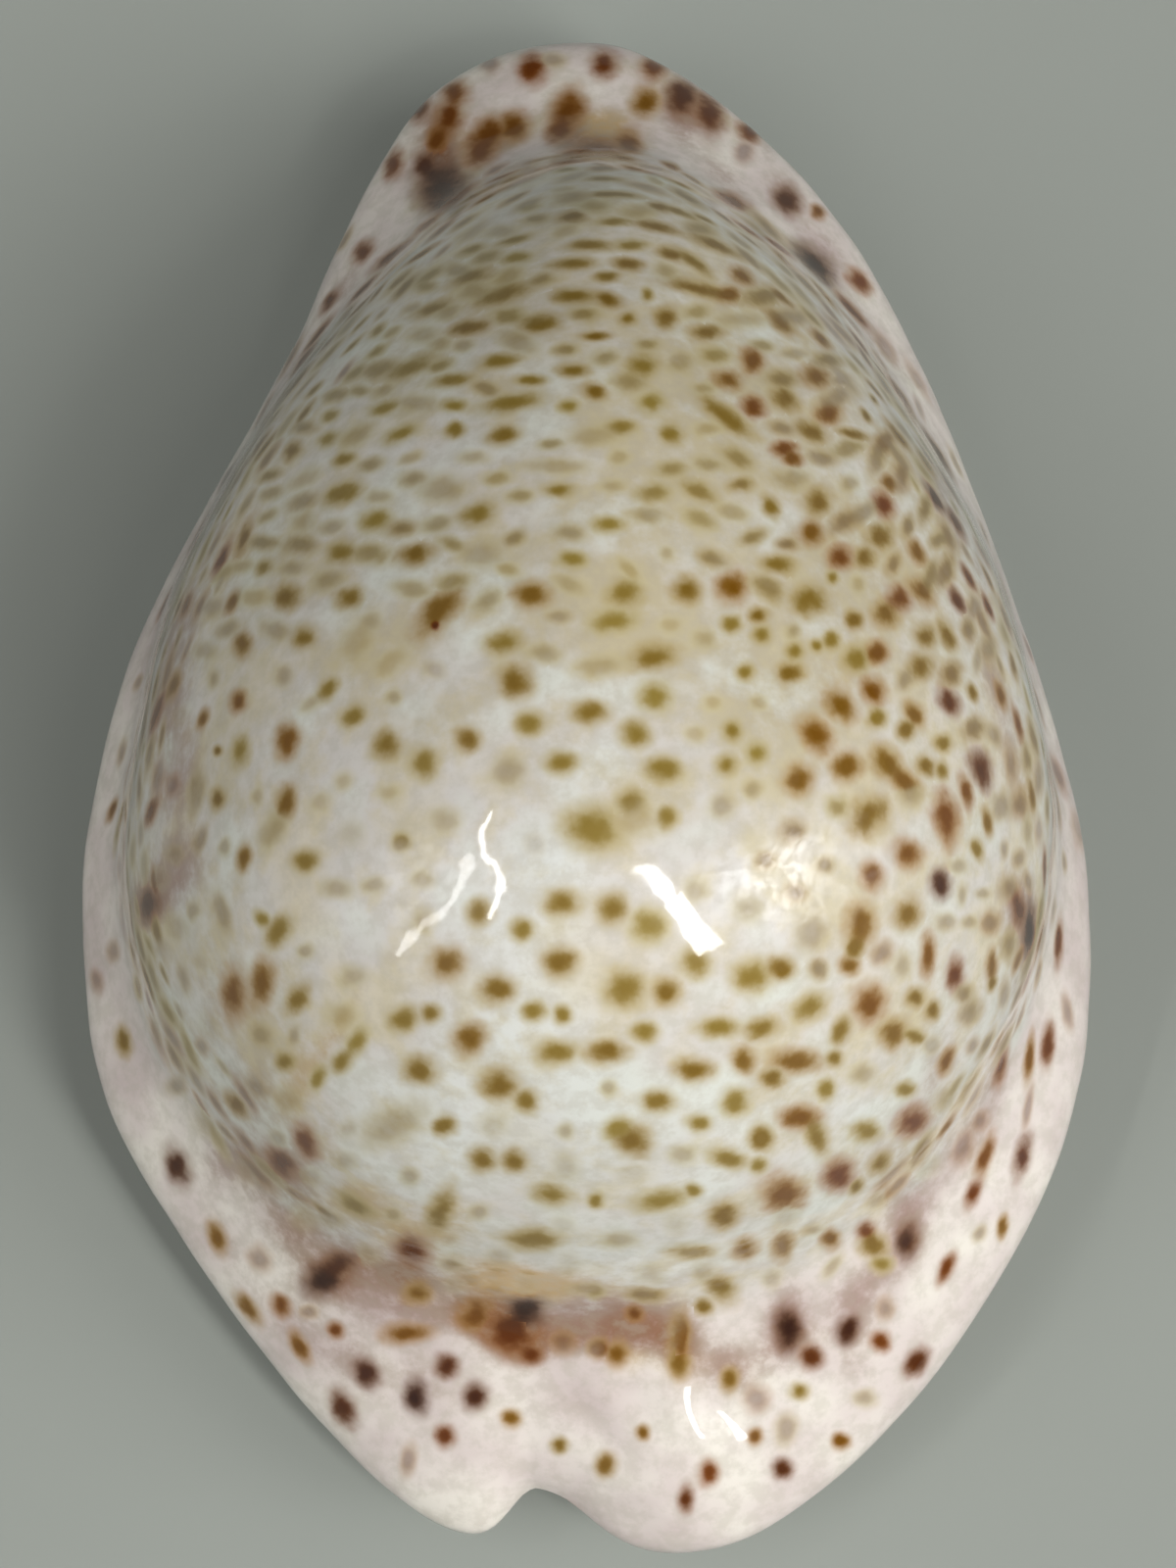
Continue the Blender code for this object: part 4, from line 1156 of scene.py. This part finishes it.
def streak_light(name, shell, start, end, width, radiance):
    """A strip light whose reflection runs from one pixel to another, with a width in pixels."""
    start, end = np.array(start, float), np.array(end, float)
    middle = (start + end) / 2
    along = unit(end - start)
    beside = np.array([-along[1], along[0]]) * width / 2
    pixels = [start, end, middle - beside, middle + beside, middle]
    places, centres = mirror_places(pixels, shell, LAMP_DISTANCE)
    length, thickness = np.linalg.norm(places[1] - places[0]), np.linalg.norm(places[3] - places[2])
    back = unit(places[4] - centres[4])
    right = unit(places[1] - places[0])
    right = unit(right - back * (right @ back))
    axes = (right, np.cross(back, right), back)
    area_light(name, places[4], axes, (length, thickness), radiance)


def soft_glow(tree, direction, shell, middle, across, down, radiance):
    """Brightness of the room that shows as a soft glow round one pixel of the photograph.

    A bell curve in the direction of the light. Its two own coordinates are 1 where the reflection
    falls across pixels to the side and down pixels further down. Noise makes it patchy.
    """
    x, y = middle
    places, centres = mirror_places([(x, y), (x + across, y), (x, y + down)], shell, 1.0)
    towards = unit(places - centres)
    spans = np.column_stack([towards[1] - towards[0], towards[2] - towards[0]])
    own = np.linalg.pinv(spans)
    away = {0: direction, 1: towards[0]}
    offset = put(tree, "ShaderNodeVectorMath", away, operation="SUBTRACT").outputs[0]
    squares = []
    for row in own:
        value = dot(tree, offset, row)
        squares.append(math(tree, "MULTIPLY", value, value))
    bell = math(tree, "EXPONENT", math(tree, "MULTIPLY", math(tree, "ADD", *squares), -1.0))
    bell = math(tree, "MULTIPLY", bell, fade(tree, dot(tree, direction, towards[0]), 0.2, 0.6))
    patchy = fade(tree, noise(tree, direction, 0.06, 4.0, 0.65).outputs[0], 0.4, 0.62, 0.12, 1.0)
    return math(tree, "MULTIPLY", math(tree, "MULTIPLY", bell, patchy), radiance)


def make_world(shell):
    """A room that is brightest over the back end and lighter on the left, with two soft glows."""
    world = bpy.data.worlds.new("room")
    world.use_nodes = True
    tree = world.node_tree
    direction = put(tree, "ShaderNodeTexCoord").outputs["Generated"]
    key = fade(tree, dot(tree, direction, KEY_DIRECTION), 0.1, 0.95, DIM_ROOM, KEY_BRIGHTNESS)
    fill = fade(tree, dot(tree, direction, FILL_DIRECTION), 0.3, 1.0, 0.0, FILL_BRIGHTNESS)
    brightness = math(tree, "ADD", key, fill)
    for glow in ROOM_GLOWS:
        brightness = math(tree, "ADD", brightness, soft_glow(tree, direction, shell, *glow))
    tree.links.new(brightness, tree.nodes["Background"].inputs["Strength"])
    tree.nodes["Background"].inputs["Color"].default_value = ROOM_COLOUR
    bpy.context.scene.world = world


def make_lights(shell):
    """Small bright lamps where the photograph shows highlights."""
    for number, (start_x, start_y, end_x, end_y, width, radiance) in enumerate(GLINTS):
        streak_light(f"glint_{number}", shell, (start_x, start_y), (end_x, end_y), width, radiance)


shell = make_shell()
shell.data.materials.append(shell_material())
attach(shell, "root")
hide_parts("cowrie_shell")
make_floor()
make_camera()
make_lights(shell)
make_world(shell)
bpy.context.scene.view_settings.view_transform = "Standard"
